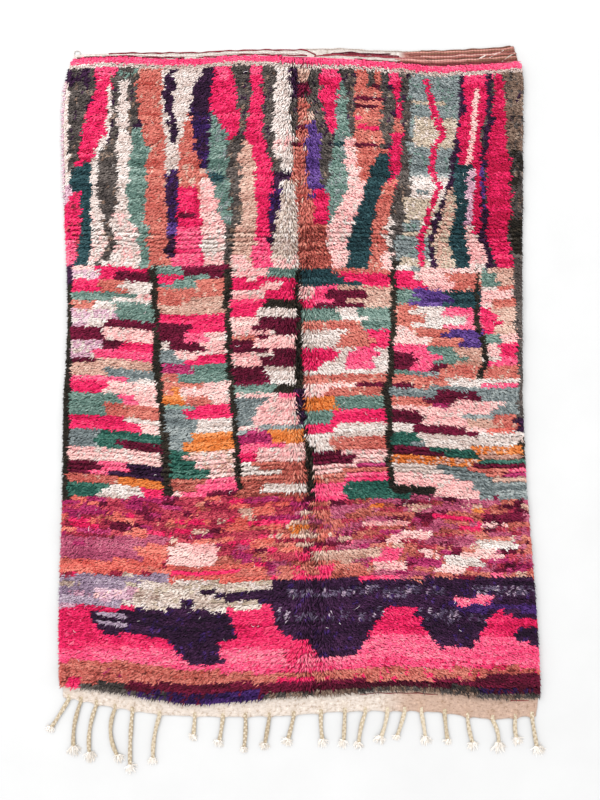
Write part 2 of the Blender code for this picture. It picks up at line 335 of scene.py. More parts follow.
# %% [markdown]
# ## Tools for the pattern
#
# The pattern is a traditional one: wandering stripes, then panels of short courses between dark
# bars, then a mottled band and stepped shapes. It is charted here in words and whole centimetres,
# counted across from the middle and down from the far end. Only the layout is charted. The wavering
# of each edge, a knot or so either way, is drawn at random row by row, as a weaver's hand would.

# %% Stripes, lines and flecks
WANDER = 0.42  # how far a stripe's edge strays, in cm
ROW_NUMBERS = np.arange(ROWS)[:, None]


def knot_in(yarn, where):
    chart[where] = NAMES.index(yarn)


def stripe(yarn, stations, wander):
    """A band down the rug. Each station is how far down it is, and the band's left and right side."""
    downs, lefts, rights = zip(*stations)
    shared = draw.normal(0.0, wander, (ROWS, 1))
    own = draw.normal(0.0, 0.4 * wander, (2, ROWS, 1))
    inside = (down >= downs[0] - 0.2) & (down < downs[-1] + 0.6)
    inside &= across >= np.interp(down, downs, lefts) + shared + own[0]
    inside &= across < np.interp(down, downs, rights) + shared + own[1]
    knot_in(yarn, inside)


def dashes(yarn, places):
    """Short lines one row deep. Each place is how far down it is, and its left and right end."""
    for level, left, right in places:
        column = int(np.argmin(np.abs(across[0] - 0.5 * (left + right))))
        row = int(np.argmin(np.abs(down[:, column] - level)))
        line = (ROW_NUMBERS == row) & (across >= left) & (across < right)
        knot_in(yarn, line)
        lined[line] = 1.0


def flecks(yarn, onto, share, top, bottom, left, right):
    """Single knots of another yarn, scattered over one yarn in a block."""
    block = (down >= top) & (down < bottom) & (across >= left) & (across < right)
    block &= chart == NAMES.index(onto)
    knot_in(yarn, block & (draw.random(chart.shape) < share))


# %% Courses and mixtures
COURSE_STRAY = 0.9  # how far the end of a yarn strays along its course, in cm


def courses(edge, beyond, words):
    """A panel between two edges, in words: how far down a course starts, then its yarns, and
    between two yarns how far across the first one ends."""
    downs, lefts = zip(*edge)
    lines = [line.split() for line in words.strip().splitlines()]
    starts = [float(line[0]) for line in lines] + [downs[-1]]
    column = int(np.argmin(np.abs(across[0] - lefts[0] - 12.0)))
    for line, top, bottom in zip(lines, starts, starts[1:]):
        for row in np.flatnonzero((down[:, column] >= top) & (down[:, column] < bottom)):
            start = np.interp(down[row, column], downs, lefts)
            stops = [float(place) + draw.normal(0.0, COURSE_STRAY) for place in line[2::2]]
            stops.append(np.interp(down[row, column], *zip(*beyond)))
            for yarn, stop in zip(line[1::2], stops):
                knot_in(yarn, (ROW_NUMBERS == row) & (across >= start) & (across < stop))
                start = max(start, stop)


def mixture(top, bottom, left, right, run, ragged, words):
    """A block of short runs of several yarns. The words are yarns, each with its share of the block.
    Some runs go on into the next row, and some knots stray into their neighbours."""
    yarns = words[0::2]
    shares = np.array([float(share) for share in words[1::2]])
    runs = []
    for row in range(ROWS):
        level = (down[row] >= top) & (down[row] < bottom)
        first, last = left + draw.normal(0.0, ragged), right + draw.normal(0.0, ragged)
        if not runs or draw.random() < 0.85:
            runs = []
            x = left - run * draw.random() - 3.0 * ragged
            while x < right + 3.0 * ragged:
                runs.append((x, yarns[draw.choice(len(yarns), p=shares / shares.sum())]))
                x += run * draw.uniform(0.4, 2.0)
        starts = np.array([x for x, _ in runs]) + draw.normal(0.0, 0.5)
        picked = np.searchsorted(starts, across[row] + draw.normal(0.0, 1.0, KNOTS)) - 1
        yarn_of_run = np.array([NAMES.index(yarn) for _, yarn in runs])
        inside = level & (across[row] >= first) & (across[row] < last)
        chart[row, inside] = yarn_of_run[np.clip(picked, 0, len(runs) - 1)][inside]


# %% The words of the chart
def work(words):
    """Charts the forms that the lines of words give, in their order.
    "rose 2 -71 -63, 5 -71 -65" is a stripe and its stations. "~ 0.3" after them is its wander.
    "plum line 54 -42 -36" is a dash: how far down it is, its left and its right end.
    "sage on charcoal 0.35 2 8 -63 -57" is flecks: their share, and top, bottom, left and right.
    "mix" has top, bottom, left, right, length of a run, raggedness, then yarns and shares.
    A line that ends with a comma goes on in the next."""
    for line in words.strip().replace(",\n", ",").splitlines():
        form, _, wander = line.replace(",", "").partition("~")
        yarn, *rest = form.split()
        if yarn == "mix":
            mixture(*map(float, rest[:6]), rest[6:])
        elif rest[0] == "on":
            flecks(yarn, rest[1], *map(float, rest[2:]))
        elif rest[0] == "line":
            dashes(yarn, groups_of_three(rest[1:]))
        else:
            stripe(yarn, groups_of_three(rest), float(wander or WANDER))


print("Nothing is charted yet:", int((chart >= 0).sum()), "knots")

# %% [markdown]
# ## The wandering stripes
#
# The far third of the rug is stripes that run lengthwise, 2 to 10 cm wide. They swell, thin out and
# lean on each other all the way down. Each is given by a few places where its width or its course
# changes.

# %% Stripes of the left half
work("""
    charcoal 0 60 84, 74 66 84
    charcoal 0 -84 -60, 38 -84 -60
    charcoal 2 -82 -72, 15 -82 -73, 22 -82 -76, 30 -82 -78, 38 -80 -79
    crimson 2 -70 -63, 7 -71 -65.5, 16 -73 -66, 25 -75.5 -67, 38 -77 -73.5
    rose 2 -71 -63, 5 -71 -65
    lilac 43 -84 -80, 46 -84 -77, 49 -84 -77
    crimson 52 -84 -75.5, 62 -84 -75.5, 72 -84 -77
    cream 8 -84 -79.8, 43 -84 -79.8 ~ 0.3
    rose 63 -84 -76, 72 -84 -77
    teal 35 -74.6 -71.6, 38 -77.6 -71, 43 -79.2 -70.5, 47 -77 -70, 52 -75 -70, 60 -75 -70, 73 -77 -74
    cream 8 -66.4 -65, 25 -67 -65, 30 -70 -67, 34 -71.5 -67.5, 40 -71.8 -69.3,
        50 -71.8 -69, 60 -71.6 -66, 72 -72 -67
    charcoal 5 -65 -63, 27 -65 -63
    charcoal 2 -63 -57, 7 -63 -57
    sage on charcoal 0.35 2 8 -63 -57
    crimson 46.5 -79 -75.5, 51 -80 -75.5 ~ 0.6
    cream 7 -63 -59, 27 -63 -58, 35 -64 -57, 42 -64 -59, 54 -64 -59
    cream 53 -65 -58, 62 -64 -55, 72 -65 -53
    blush on cream 0.3 53 73 -73 -50
    charcoal 28 -66 -63.5, 32 -69 -63, 42 -70 -62.5, 50 -69 -63, 54 -67 -64
    charcoal 55 -68 -66, 64 -66 -63, 72 -71 -69 ~ 0.25
    charcoal 5 -60 -56.5, 27 -59 -56
    terracotta 2 -57 -48, 17 -56 -48, 27 -54 -46, 50 -54 -46, 72 -53 -45
    sage 24 -58 -55, 30 -58 -53, 45 -60 -53, 55 -58 -53, 60 -55 -52, 72 -55 -52
    cream 2 -48 -34, 10 -48 -37, 20 -47 -38, 27 -47 -41, 38 -46 -41
    cream 35 -46 -40, 38 -46 -37
    aubergine 1 -44.5 -42, 8 -47 -43.3, 13 -47 -43.8, 20 -45.6 -43, 25 -44.6 -41.6, 28 -44.8 -42.6
    terracotta 18 -39 -37, 27 -41 -36, 36 -42 -35, 46 -42 -32
    tan on terracotta 0.2 36 45 -40 -31
    aubergine 0 -33 -28, 10 -37 -31, 17 -38 -31, 28 -37 -31, 37 -34 -32
    sage 17 -31 -28, 25 -31 -25, 39 -32 -25
    teal 39.6 -31 -24.5, 40.8 -31 -24.5 ~ 0.2
    crimson 0 -28 -24, 8 -31 -23, 16 -31 -21, 22 -27 -21, 27 -24 -22
    rose 0 -28 -24, 5 -29 -25
    charcoal 1 -24 -17, 10 -22 -17, 24 -21 -17, 30 -25 -20, 45 -25 -18, 56 -25 -18.6
    crimson 1 -17 -13, 12 -17 -13, 26 -19 -13, 34 -15 -9, 45 -16 -10, 60 -15 -10, 72 -19 -10
    rose 1 -17 -13, 4 -18 -14
    rose 62 -16 -10, 72 -19 -10
    charcoal 1 -13 -8, 25 -13 -9, 34 -10 -7, 39 -9 -5
    cream 1 -8 -4, 15 -8.8 -3, 22 -9.4 -2, 30 -9 -3, 38 -6 -3
    blush on cream 0.35 23 31 -10 -2
    aubergine 0 -4 -1, 11 -4 -2
    charcoal 12 -4 -2, 25 -3 0
    tan 27 -20 -18, 35 -21 -16, 55 -20 -15, 65 -23 -16, 72 -24 -17
    blush 68 -24 -18, 72 -24 -17
    aubergine 39 -9 -5, 52 -11 -7, 63 -10 -8
    cream 41 -6 -3, 50 -7 -2, 60 -9 -1, 72 -10 0
    silver on cream 0.6 41 68 -12 1
    blush on cream 0.5 65 74 -12 1
    blush 41 -34 -32, 50 -35 -27, 65 -34 -26, 72 -33 -27
    cream 62 -34 -28, 66 -34 -28
    sage 42 -30 -25, 52 -28 -24, 57 -26 -24
    charcoal 57 -26 -24, 73 -26 -24 ~ 0.25
    crimson 44 -42 -35, 60 -42 -34, 72 -43 -34
    rose 58 -42 -34, 72 -43 -34
    plum line 54 -42 -36
    aubergine 38 -46 -42, 50 -46 -42, 60 -45 -43, 67 -46 -42
    violet 56 -46 -43, 60 -45 -43
    aubergine on charcoal 0.55 1 9 -84 -73
    indigo on aubergine 0.5 17 40 -41 -31
    indigo on aubergine 0.4 38 60 -47 -42
    indigo on aubergine 0.6 44 56 -12 -5
""")

# %% Stripes of the right half
work("""
    tan 1 -1 3, 5 -1 4
    plum 6 -1 4, 11 -1 4
    terracotta 12 0 4, 21 -1 3
    terracotta 22 -1 3, 30 -3 2, 40 -2.5 3.5, 50 -1.5 5, 56 0 8
    rust 57 -1 10, 72 -1 11
    plum line 23 0 3, 28 -3 1.5
    charcoal 1 3 7, 15 3 8, 20 5 9, 27 7 11, 35 6 11, 43 7 9
    crimson 1 7 12, 8 7 14, 12 7 13, 20 8 12, 25 10 13
    rose 1 7 13, 5 7 13
    violet 20 3 5, 25 2 6, 45 3 7, 47 4 6
    crimson 45 5 10, 56 5 10
    sage 7 14 16, 15 12 18, 25 12 18, 35 10 16, 45 9 17, 56 9 12
    teal line 29 11.5 15.5
    charcoal 3 13 19, 10 16 19, 25 17 19
    blush 27 16 19, 35 16 20, 45 17 23, 50 13 21, 58 9 17, 65 10 17, 73 11 16
    terracotta 3 19 28, 30 19 29, 35 20 28, 41 21 25
    charcoal 3 23 25, 8 23 25
    plum line 8 25 28, 12 19 28, 16 19 27, 30 19 29
    crimson line 20 19 21, 24 20 28
    charcoal 3 28 31, 20 28 33, 30 28 31
    crimson 3 31 33.8, 10 32.2 34.6, 20 33.4 34.9, 22 33.4 34.9 ~ 0.3
    crimson 25 32 35.5, 33 31.5 36, 43 30 33
    rose 3 31 34, 7 31 34
    terracotta 21 32 36, 24 32 36
    charcoal 3 34 38, 10 35 39, 35 35 39, 45 33 38, 55 31 36, 60 31 34, 72 31 33
    teal 32 28 30, 40 23 30, 50 21 28, 60 17 25, 73 16 23
    terracotta 42 29 33, 50 27 31, 60 25 30, 73 23 28
    cream 55 30 32, 65 29 31
    blush 66 28 31, 73 28 31
    oatmeal 2 37 57, 4.3 37 57
    slate 5 38 55, 29.3 38 55
    oatmeal 20 39 54, 29.3 39 54
    slate 30 38 53, 40.3 38 53
    cream 41 38 51, 47.3 38 51
    oatmeal 48 36 50, 60.3 36 50
    slate 56 36 42, 59.3 36 42
    slate 61 33 47, 68.3 33 47
    oatmeal 69 34 47, 72.3 34 47
    sage on slate 0.1 5 73 33 55
    cream on oatmeal 0.2 5 73 33 55
    oatmeal line 14 39 50
    slate line 46 40 44, 65 44 47
    crimson 7 43 45, 13 44 46, 20 46 49, 26 48 50, 30 45 47, 37 44 46, 45 47 49 ~ 0.25
    crimson 45 47 49, 51 44 46, 57 42 44, 63 40 42, 72 41 43 ~ 0.25
    aubergine 4 55 57, 20 55 57, 30 53 55, 41 51 53, 50 48 51, 58 45 48, 65 44 46, 72 45 47 ~ 0.3
    tan 44 51 55, 54 49 52, 63 46 51, 72 47 53
    teal 34 54 58, 42 52 58, 50 54 58, 62 51 57, 72 53 58
    crimson 3 57 67, 8 57 65, 17 57 65, 25 54 62, 35 55 62
    rose 3 57 67, 7 57 66
    blush 10 60.4 62, 20 59.2 61, 30 58 59.8, 35 57.2 58.8 ~ 0.3
    lilac 38 57.6 59.6, 52 57.2 59.2, 57 56.4 58.2 ~ 0.3
    blush 58 57 59, 67 57 63, 72 58 61
    crimson 36 60 63, 50 60 62, 60 59 61
    crimson 5 67 70, 20 66 71, 30 64 71, 36 63 73, 50 64 72, 60 64 71, 73 67 73
    aubergine 4 65 67, 16 64 66, 20 65 67, 30 62 64, 40 62 63.6, 53 62 64, 61 62 64, 72 65 67 ~ 0.3
    olive 31 73 84, 44 72 84
    olive 55 71 84, 66 73 84
    violet on aubergine 0.35 36 52 60 66
    oatmeal on tan 0.45 40 74 44 56
    garnet on crimson 0.25 44 73 -84 -74
    charcoal on olive 0.5 30 46 70 84
    taupe on charcoal 0.75 3 31 66 84
    taupe on charcoal 0.08 3 73 -79 84
    aubergine on charcoal 0.12 3 30 -84 84
    slate on sage 0.2 18 56 -32 18
    cream on blush 0.15 20 73 -50 70
    tan on terracotta 0.06 2 73 -60 30
""")
print("Knots charted so far:", int((chart >= 0).sum()))

# %% [markdown]
# ## The panels of short courses
#
# The middle of the rug is five panels between dark bars. Each panel is built of courses, one to
# three rows high, and in each course one yarn gives way to the next. A course is one line of words
# below: where it starts, then its yarns, with the place where each one ends between them.

# %% Panels of the left half
# The left side of each panel as places of (down, across), and last the rug's own right side.
EDGES = (
    ((72, -84), (150, -84)),
    ((72, -51), (105, -48), (150, -45)),
    ((72, -24), (105, -24), (150, -21)),
    ((72, -1), (105, -1), (133, 3), (150, 3)),
    ((72, 32), (115, 30), (150, 31)),
    ((72, 90), (150, 90)),
)

courses(EDGES[0], EDGES[1], """
    72 blush -69 crimson
    73 lilac -69 crimson -64 plum
    76 crimson -69 terracotta -61 cream
    80 sage -56 blush
    82 sage -64 cream
    84 terracotta -70 cream -62 sage
    86 lilac -62 sage
    89 cream -65 plum
    90 lilac -71 cream -66 plum
    93 plum -66 blush
    97 lilac -67 plum -61 crimson
    100 lilac -70 rose
    103 plum -70 tan
    105 tan
    106 tan -66 slate
    109 rose -59 slate -55 cream
    111 crimson -66 blush
    115 sage -62 rose -55 blush
    118 sage -66 terracotta
    122 crimson -61 cream
    124 crimson -54 blush
    127 slate -68 emerald
    130 slate -70 emerald -61 plum
    133 blush
    137 plum -68 rose -58 aubergine
    140 plum -72 rose -64 aubergine
    142 terracotta -62 orange
    145 emerald -66 cream -53 crimson
    148 emerald -70 cream -57 crimson
""")
courses(EDGES[1], EDGES[2], """
    72 sage -40 plum
    74 crimson -39 sage -31 plum
    76 crimson -43 sage -35 terracotta
    78 slate -47 sage -35 terracotta
    80 terracotta
    82 terracotta -38 tan
    86 tan
    88 crimson
    91 plum -38 crimson
    95 plum -40 rose -31 blush
    97 cream -45 plum -34 blush
    100 slate -43 blush
    102 slate -42 blush -34 crimson
    104 slate -38 crimson
    106 magenta -37 sage
    108 terracotta -41 sage
    111 terracotta -33 blush
    113 terracotta -44 orange -40 blush
    116 orange -38 terracotta -30 blush
    119 sage -35 crimson
    121 slate -39 crimson
    124 slate -36 cream
    128 slate -37 terracotta
    129 slate -37 orange
    131 slate -40 orange
    134 emerald -36 blush
    136 emerald -40 blush
    138 emerald -35 blush
    141 emerald -31 blush
    143 rust -32 rose
    145 rust -35 rose
    148 blush -41 rose -33 plum
""")
courses(EDGES[2], EDGES[3], """
    72 blush -13 sage
    75 crimson -18 blush -14 crimson
    77 crimson -13 blush -6 crimson
    80 blush -12 crimson
    83 crimson -12 olive
    85 crimson -15 cream
    88 blush -15 plum
    93 blush -9 plum
    95 terracotta -15 plum -10 blush
    97 plum -14 blush
    99 plum -10 blush -8 plum
    101 blush -14 cream -8 plum
    102 blush -14 plum
    106 plum -12 cream
    109 plum -10 cream
    112 sage -8 olive
    115 blush -7 rose
    117 slate -11 blush
    120 slate -15 blush
    125 blush -13 slate
    127 slate -17 magenta -11 orange
    128 magenta -10 orange
    131 rose -5 blush
    133 rose -14 blush
    135 crimson -15 blush
    137 blush -12 rust
    138 cream -15 rust
    140 cream -8 rust
    143 rust
    146 rust -13 cream
    149 rust
""")

# %% Panels of the right half
courses(EDGES[3], EDGES[4], """
    72 teal 10 terracotta
    74 teal 14 crimson
    76 teal 20 crimson
    78 blush 4 rose 13 tan
    80 blush 4 rose 9 plum 23 tan
    83 crimson 4 rose 10 plum 18 tan
    84 crimson 4 plum 23 tan
    86 sage 12 cream 20 sage
    88 sage 14 cream 25 sage
    90 terracotta 21 sage
    93 cream 14 terracotta 21 crimson
    95 cream 13 terracotta 24 crimson
    99 crimson 12 cream 18 rose 24 cream
    101 crimson 12 cream 16 rose 26 cream
    104 crimson 8 cream 16 rose 25 cream
    106 cream
    108 terracotta
    111 blush 19 plum
    113 blush 10 terracotta
    116 orange 12 sage
    120 sage 11 crimson
    125 crimson 11 cream
    128 cream
    130 cream 10 terracotta
    134 plum 14 blush
    136 plum 19 blush
    138 blush 20 magenta
    140 blush 15 terracotta
    142 terracotta 15 rose
    145 rose 15 emerald
""")
courses(EDGES[4], EDGES[5], """
    72 cream 38 slate 42 blush
    74 crimson 38 blush 50 terracotta
    76 crimson 43 blush 52 terracotta
    79 sage 39 violet 50 teal
    82 sage 43 violet 54 teal
    84 sage 38 violet 50 teal
    86 terracotta 39 cream 50 rose
    89 terracotta 44 cream 56 rose
    91 terracotta 37 cream 50 rose
    93 blush 37 terracotta 49 violet
    95 blush 44 terracotta 55 violet
    99 rose 43 sage 52 tan
    101 plum 37 rose 48 sage 58 tan
    103 plum 42 rose 46 sage 54 tan
    105 plum 37 rose 45 plum 49 terracotta
    107 sage 36 slate 46 terracotta
    109 terracotta 50 cream
    112 plum 39 terracotta 45 slate
    113 slate 46 plum 61 slate
    116 terracotta 40 plum 54 blush 68 slate
    118 terracotta 44 magenta 50 blush 68 slate
    119 blush 65 slate
    121 plum 42 blush 54 slate 66 terracotta
    123 plum 42 blush 57 tan 66 terracotta
    125 cream 37 plum 56 blush 63 brick
    127 cream 39 plum 60 cream
    129 cream
    129 emerald 39 cream
    131 emerald 37 slate 42 cream 58 orange
    133 plum 43 emerald 60 orange
    134 plum 48 emerald 60 tan
    136 orange 60 emerald
    138 orange 58 plum
    139 cream 45 slate 58 terracotta 70 rose
    141 cream 48 slate 62 terracotta 68 magenta
    142 blush 52 slate 65 tan
    144 blush 58 slate
    146 olive 46 blush 60 slate
""")
courses(((72, 62), (97, 62), (113, 61)), EDGES[5], """
    72 sage 67 tan
    78 cream 66 terracotta
    80 blush
    83 blush 66 terracotta
    86 crimson 66 tan
    89 crimson 69 tan
    91 crimson 65 tan
    94 sage 68 blush
    98 blush 67 crimson
    102 cream 70 rose
    103 rose
    105 terracotta
    109 cream
    111 rose
""")

# %% Bars between the panels
work("""
    olive 76 -84 -78, 105 -83 -78, 150 -82 -78 ~ 0.25
    aubergine 71 -84 -78, 76 -84 -77 ~ 0.25
    olive 72 -52 -49, 90 -50 -48, 105 -50 -47, 120 -48 -46, 135 -47 -44, 150 -46 -43 ~ 0.25
    olive 72 -26 -23, 90 -26 -24, 105 -25 -23, 125 -23 -21, 135 -22 -20, 147 -22 -20 ~ 0.25
    olive 72 -2.4 0.4, 90 -1.6 1, 105 -2 1.2, 113 -2 1.2 ~ 0.25
    aubergine 113 -2.2 1.8, 124 -1 2.6 ~ 0.25
    olive 125 0.6 2.2, 131 1.2 3, 133 2 5, 150 2.4 5.4 ~ 0.25
    olive 70 31 33, 85 31 33, 105 30 32, 115 28 31, 125 29 31, 132 29 31, 146 30 32 ~ 0.25
    olive 73 60 61, 90 59 61, 97 61 63, 103 62 64, 110 60 62 ~ 0.25
    charcoal 72 73 84, 110 74 84, 123 74 84
    aubergine 123.4 72.6 84, 127 72.6 84 ~ 0.6
    olive 129.5 74 84, 136.5 74 84 ~ 0.8
    tan on orange 0.25 128 150 30 84
    cream on blush 0.12 72 150 -84 84
    cream on lilac 0.35 72 110 -84 84
    tan on terracotta 0.06 72 150 -84 84
""")
print("Knots charted so far:", int((chart >= 0).sum()))

# %% [markdown]
# ## The mottled band, the stepped shapes and the near end
#
# Below the panels the weaver used up short lengths, so the yarn changes every few centimetres.
# After that come dark stepped shapes on crimson, a terracotta band, and dark rows at the very end.

# %% The mottled band
work("""
    mix 150 177 -84 12 4 1 garnet 6 brick 3 rust 2 magenta 2 plum 1 crimson 2 mauve 1 tan 0.5
    mix 150 178 6 84 3.5 4 mauve 6 plum 2 garnet 2.5,
        rust 3 tan 1.2 magenta 1.2 terracotta 2 blush 0.3 rose 0.6
    mix 150 156 -84 -35 4 1 garnet 4 magenta 4 plum 2 brick 1
    mix 150 155 0 84 4 3 mauve 3 garnet 2 plum 3 rust 2 tan 1
    mix 163 170.5 -84 -45 4 1 mauve 8 magenta 1
    mix 166 170 -55 -36 6 1 brick 4 mauve 1
    mix 170.5 175 -84 -45 6 1 brick 6 terracotta 2
    mix 173 178 -45 -10 6 1 brick 4 terracotta 3
    mix 171 178 -9 22 4 1 rust 4 terracotta 2 mauve 2 crimson 1
    mix 157 163 -4 4 3 1 orange 1 tan 2
    blush 158 20 37, 159.3 20 37 ~ 1.2
    blush 161 32 43, 163.3 32 43 ~ 1.2
    magenta 161 25 31, 162.3 25 31 ~ 1.2
    rose 167 26 34, 170.3 26 34 ~ 1.2
    blush 171 25 35, 174.3 25 35 ~ 1.2
    cream 165 60 72, 167.3 60 72 ~ 1.2
    blush 168 54 68, 169.3 54 68 ~ 1.2
    cream 170 49 62, 172.3 49 62 ~ 1.2
    blush 173 44 56, 174.3 44 56 ~ 1.2
    crimson 159 54 61, 160.3 54 61 ~ 1.2
    tan 167 6 28, 169.3 6 28 ~ 1.2
    blush 166 -45 -28, 172 -44 -28 ~ 0.5
    orange line 152 24 28, 154 58 62
    crimson line 157 45 58, 175 -43 -20, 176 0 10, 176 16 25
    rose line 176 25 33
""")

# %% The stepped shapes
work("""
    crimson 185 -84 84, 207 -84 84
    rose 200 -84 -4, 207 -84 -4
    aubergine 177 -10 84, 187 -10 84 ~ 0.8
    mix 175.5 185 -84 -44 5 1 lavender 9 silver 1
    mix 181 186 -84 -54 4 1 lavender 4 lilac 2
    mix 178 185 -58 -10 1.6 1 silver 3 cream 2 oatmeal 1
    lilac 180.5 -68 -55, 183.5 -68 -55 ~ 0.8
    blush on lilac 0.2 180 185 -70 -54
    mix 183.4 189 -56 -12 1.6 1 silver 3 cream 2 oatmeal 1
    aubergine 181.4 -34 4, 184 -24 4 ~ 0.8
    aubergine 184 -40 -36, 187 -40 -36
    aubergine 187 -57 -37, 188 -69 -24, 192 -69 -21, 194 -67 -21, 195 -62 -21, 196 -46 -22 ~ 0.6
    aubergine 196 -46 -22, 198 -43 -27, 202 -40 -26, 205 -37 -26 ~ 0.6
    lavender line 188.5 -67 -58, 192 -68 -58
    crimson 187 -25 -9, 191 -22 -9, 196 -21 -6, 198 -26 -2
    rose 195 20 84, 198 10 84, 202 1 84, 207 -6 84
    crimson 187 28 40, 192 26 39, 194 23 43, 195 21 45 ~ 0.5
    aubergine 187 40 66, 192 39 62, 194 42 61, 199 47 58 ~ 0.6
    aubergine 187 66 84, 189 70 84
    aubergine 187 -9 28, 192 -8 26, 194 -7 23, 197 1 20.5, 199 3 20, 201 5 19.5 ~ 0.6
    crimson 188 65 70, 191 63 71, 195 60 71 ~ 0.5
    crimson 190 70 84, 192 70 84
    aubergine 193.5 72 84, 197.5 72 84 ~ 0.5
    indigo 185 50 84, 187 52 84
    rose 183 52 64, 185 52 64 ~ 0.8
    heather on aubergine 0.5 179.5 182.5 -4 48
    heather on aubergine 0.4 179 182.5 56 79
    heather on aubergine 0.25 187 190.5 -8 28
    heather on aubergine 0.3 187 191 40 62
    lavender on heather 0.2 177 191 -8 84
    indigo on aubergine 0.07 178 203 -70 84
    rose on crimson 0.05 185 200 -84 -60
    crimson on rose 0.12 203 208 -30 80
""")

# %% The near end
work("""
    terracotta 204 -84 -60, 206 -84 -40, 208 -84 -18, 211 -60 -5 ~ 0.3
    terracotta 206.5 5 50, 209.5 5 50
    terracotta 206 50 84, 210 50 84
    crimson on terracotta 0.15 204 210 0 84
    terracotta 207 -62 -38, 213 -60 -18
    terracotta 209 -84 -58, 212 -84 -58
    crimson 209 -6 4, 211 -6 4
    crimson 210 -78 -73, 212 -78 -73
    charcoal 211 -73 -56, 214 -73 -56
    plum 211 -58 -15, 213 -58 -15
    indigo 214 -58 -12, 220 -58 -12
    plum 211 -15 6, 213 -15 6
    charcoal 214 -12 20, 220 -12 20
    plum 210 6 66, 212 6 66
    charcoal 212 18 62, 220 18 62
    plum 208.5 62 84, 212 62 84
    indigo 212.6 60 78, 213.4 60 78
    plum on indigo 0.4 210 215 58 80
    charcoal 215 56 84, 220 56 84
    charcoal on indigo 0.3 213 216 -58 -44
    plum on indigo 0.2 213 217 -44 -12
    taupe on charcoal 0.4 210 220 -12 84
    rust on terracotta 0.3 204 213 -84 84
    tan on blush 0.4 134 141 -41 -22
    magenta on terracotta 0.25 206 209 -70 -58
""")

# %% The first rows, and knots that no line of the chart reached
chart[0] = NAMES.index("rose")
chart[1] = NAMES.index("cream")
for row in range(ROWS):
    known = np.flatnonzero(chart[row] >= 0)
    columns = np.arange(KNOTS)
    nearest = known[np.abs(columns[:, None] - known[None, :]).argmin(axis=1)]
    chart[row] = chart[row, nearest]
counts = {name: int((chart == k).sum()) for k, name in enumerate(NAMES)}
print("Knots of each yarn:", counts)

# %% [markdown]
# ## One tuft of yarn
#
# A knot leaves soft cut ends of yarn on the surface. Each is a tapered tuft that rises from the
# ground and lies over to one side. Hair would be the quick way in Blender, but hair is not a mesh.
# So one tuft is modelled with the fewest faces that still give it a root, a belly and a tip, and is
# copied over a hundred and sixty thousand times.

# %% Model one tuft
def select_points(made, wanted):
    """Leaves edit mode's selection on the points that pass a test."""
    bpy.ops.object.mode_set(mode="EDIT")
    bpy.ops.mesh.select_mode(type="VERT")
    bpy.ops.mesh.select_all(action="DESELECT")
    bpy.ops.object.mode_set(mode="OBJECT")
    for vertex in made.data.vertices:
        vertex.select = wanted(vertex.co)
    bpy.ops.object.mode_set(mode="EDIT")


BELLY = -0.36  # where the tuft is widest, from its root at 0 to its tip at -1

# A cone with three sides, lying with its tip towards the fringe and one corner of its base down.
bpy.ops.object.select_all(action="DESELECT")
bpy.ops.mesh.primitive_cone_add(
    vertices=3, radius1=0.55, radius2=0.0, depth=1.0, end_fill_type="NGON",
    location=(0.0, -0.5, 0.0), rotation=(math.radians(90.0), math.radians(180.0), 0.0),
)
tuft = bpy.context.active_object
tuft.name = "tuft"
bpy.ops.object.transform_apply(location=True, rotation=True, scale=True)
# The corner that points down becomes the root, the other two the belly, and the tip is raised.
select_points(tuft, lambda place: place.y > -0.5 and place.z < -0.1)
bpy.ops.transform.translate(value=(0.0, 0.10, 0.55))
select_points(tuft, lambda place: place.y > -0.5 and place.z > 0.1)
bpy.ops.transform.translate(value=(0.0, BELLY, 0.575))
select_points(tuft, lambda place: place.y < -0.9)
bpy.ops.transform.translate(value=(0.0, 0.0, 0.74))
bpy.ops.object.mode_set(mode="OBJECT")

TUFT_POINTS = np.array([tuple(v.co) for v in tuft.data.vertices])
TUFT_FACES = np.array([tuple(p.vertices) for p in tuft.data.polygons])
TUFT_TOP = TUFT_POINTS[:, 2].max()
TUFT_TIP = int(TUFT_POINTS[:, 1].argmin())
# Each point's share of the way across the tuft and from its root to its tip, for its colours and its painted
# shade at the root.
tuft_across = 0.5 + 0.45 * np.sign(np.round(TUFT_POINTS[:, 0], 3))
tuft_rise = np.interp(TUFT_POINTS[:, 1], (-1.0, BELLY, 0.1), (0.97, 0.50, 0.02))
bpy.data.objects.remove(tuft)
print("One tuft has", len(TUFT_POINTS), "points and", len(TUFT_FACES), "triangles")

# %% Turn arrays into pieces
SHADES = 64  # a yarn's map has this many strips side by side, each of one shade


def smooth(t):
    t = np.clip(t, 0.0, 1.0)
    return t * t * (3.0 - 2.0 * t)


def strip_map(strips, across, rise):
    """Places in a yarn's map, from strip, share across the strip, and share from root to tip."""
    return np.stack(np.broadcast_arrays((strips + 0.1 + 0.8 * across) / SHADES, rise), axis=-1)


def put(things, key, values, kind=np.float32):
    """Sets one property of many things from an array."""
    things.foreach_set(key, np.asarray(values, dtype=kind).ravel())


def piece(name, points, faces, places):
    """An object from arrays: points, triangles, and each triangle corner's place in its map."""
    made = bpy.data.meshes.new(name)
    made.vertices.add(len(points))
    put(made.vertices, "co", points + STEP)
    made.loops.add(faces.size)
    put(made.loops, "vertex_index", faces, np.int32)
    made.polygons.add(len(faces))
    put(made.polygons, "loop_start", np.arange(0, faces.size, 3), np.int32)
    made.update(calc_edges=True)
    put(made.uv_layers.new(name="OFBake").uv, "vector", places)
    made.shade_smooth()
    shown = bpy.data.objects.new(name, made)
    bpy.context.collection.objects.link(shown)
    return shown


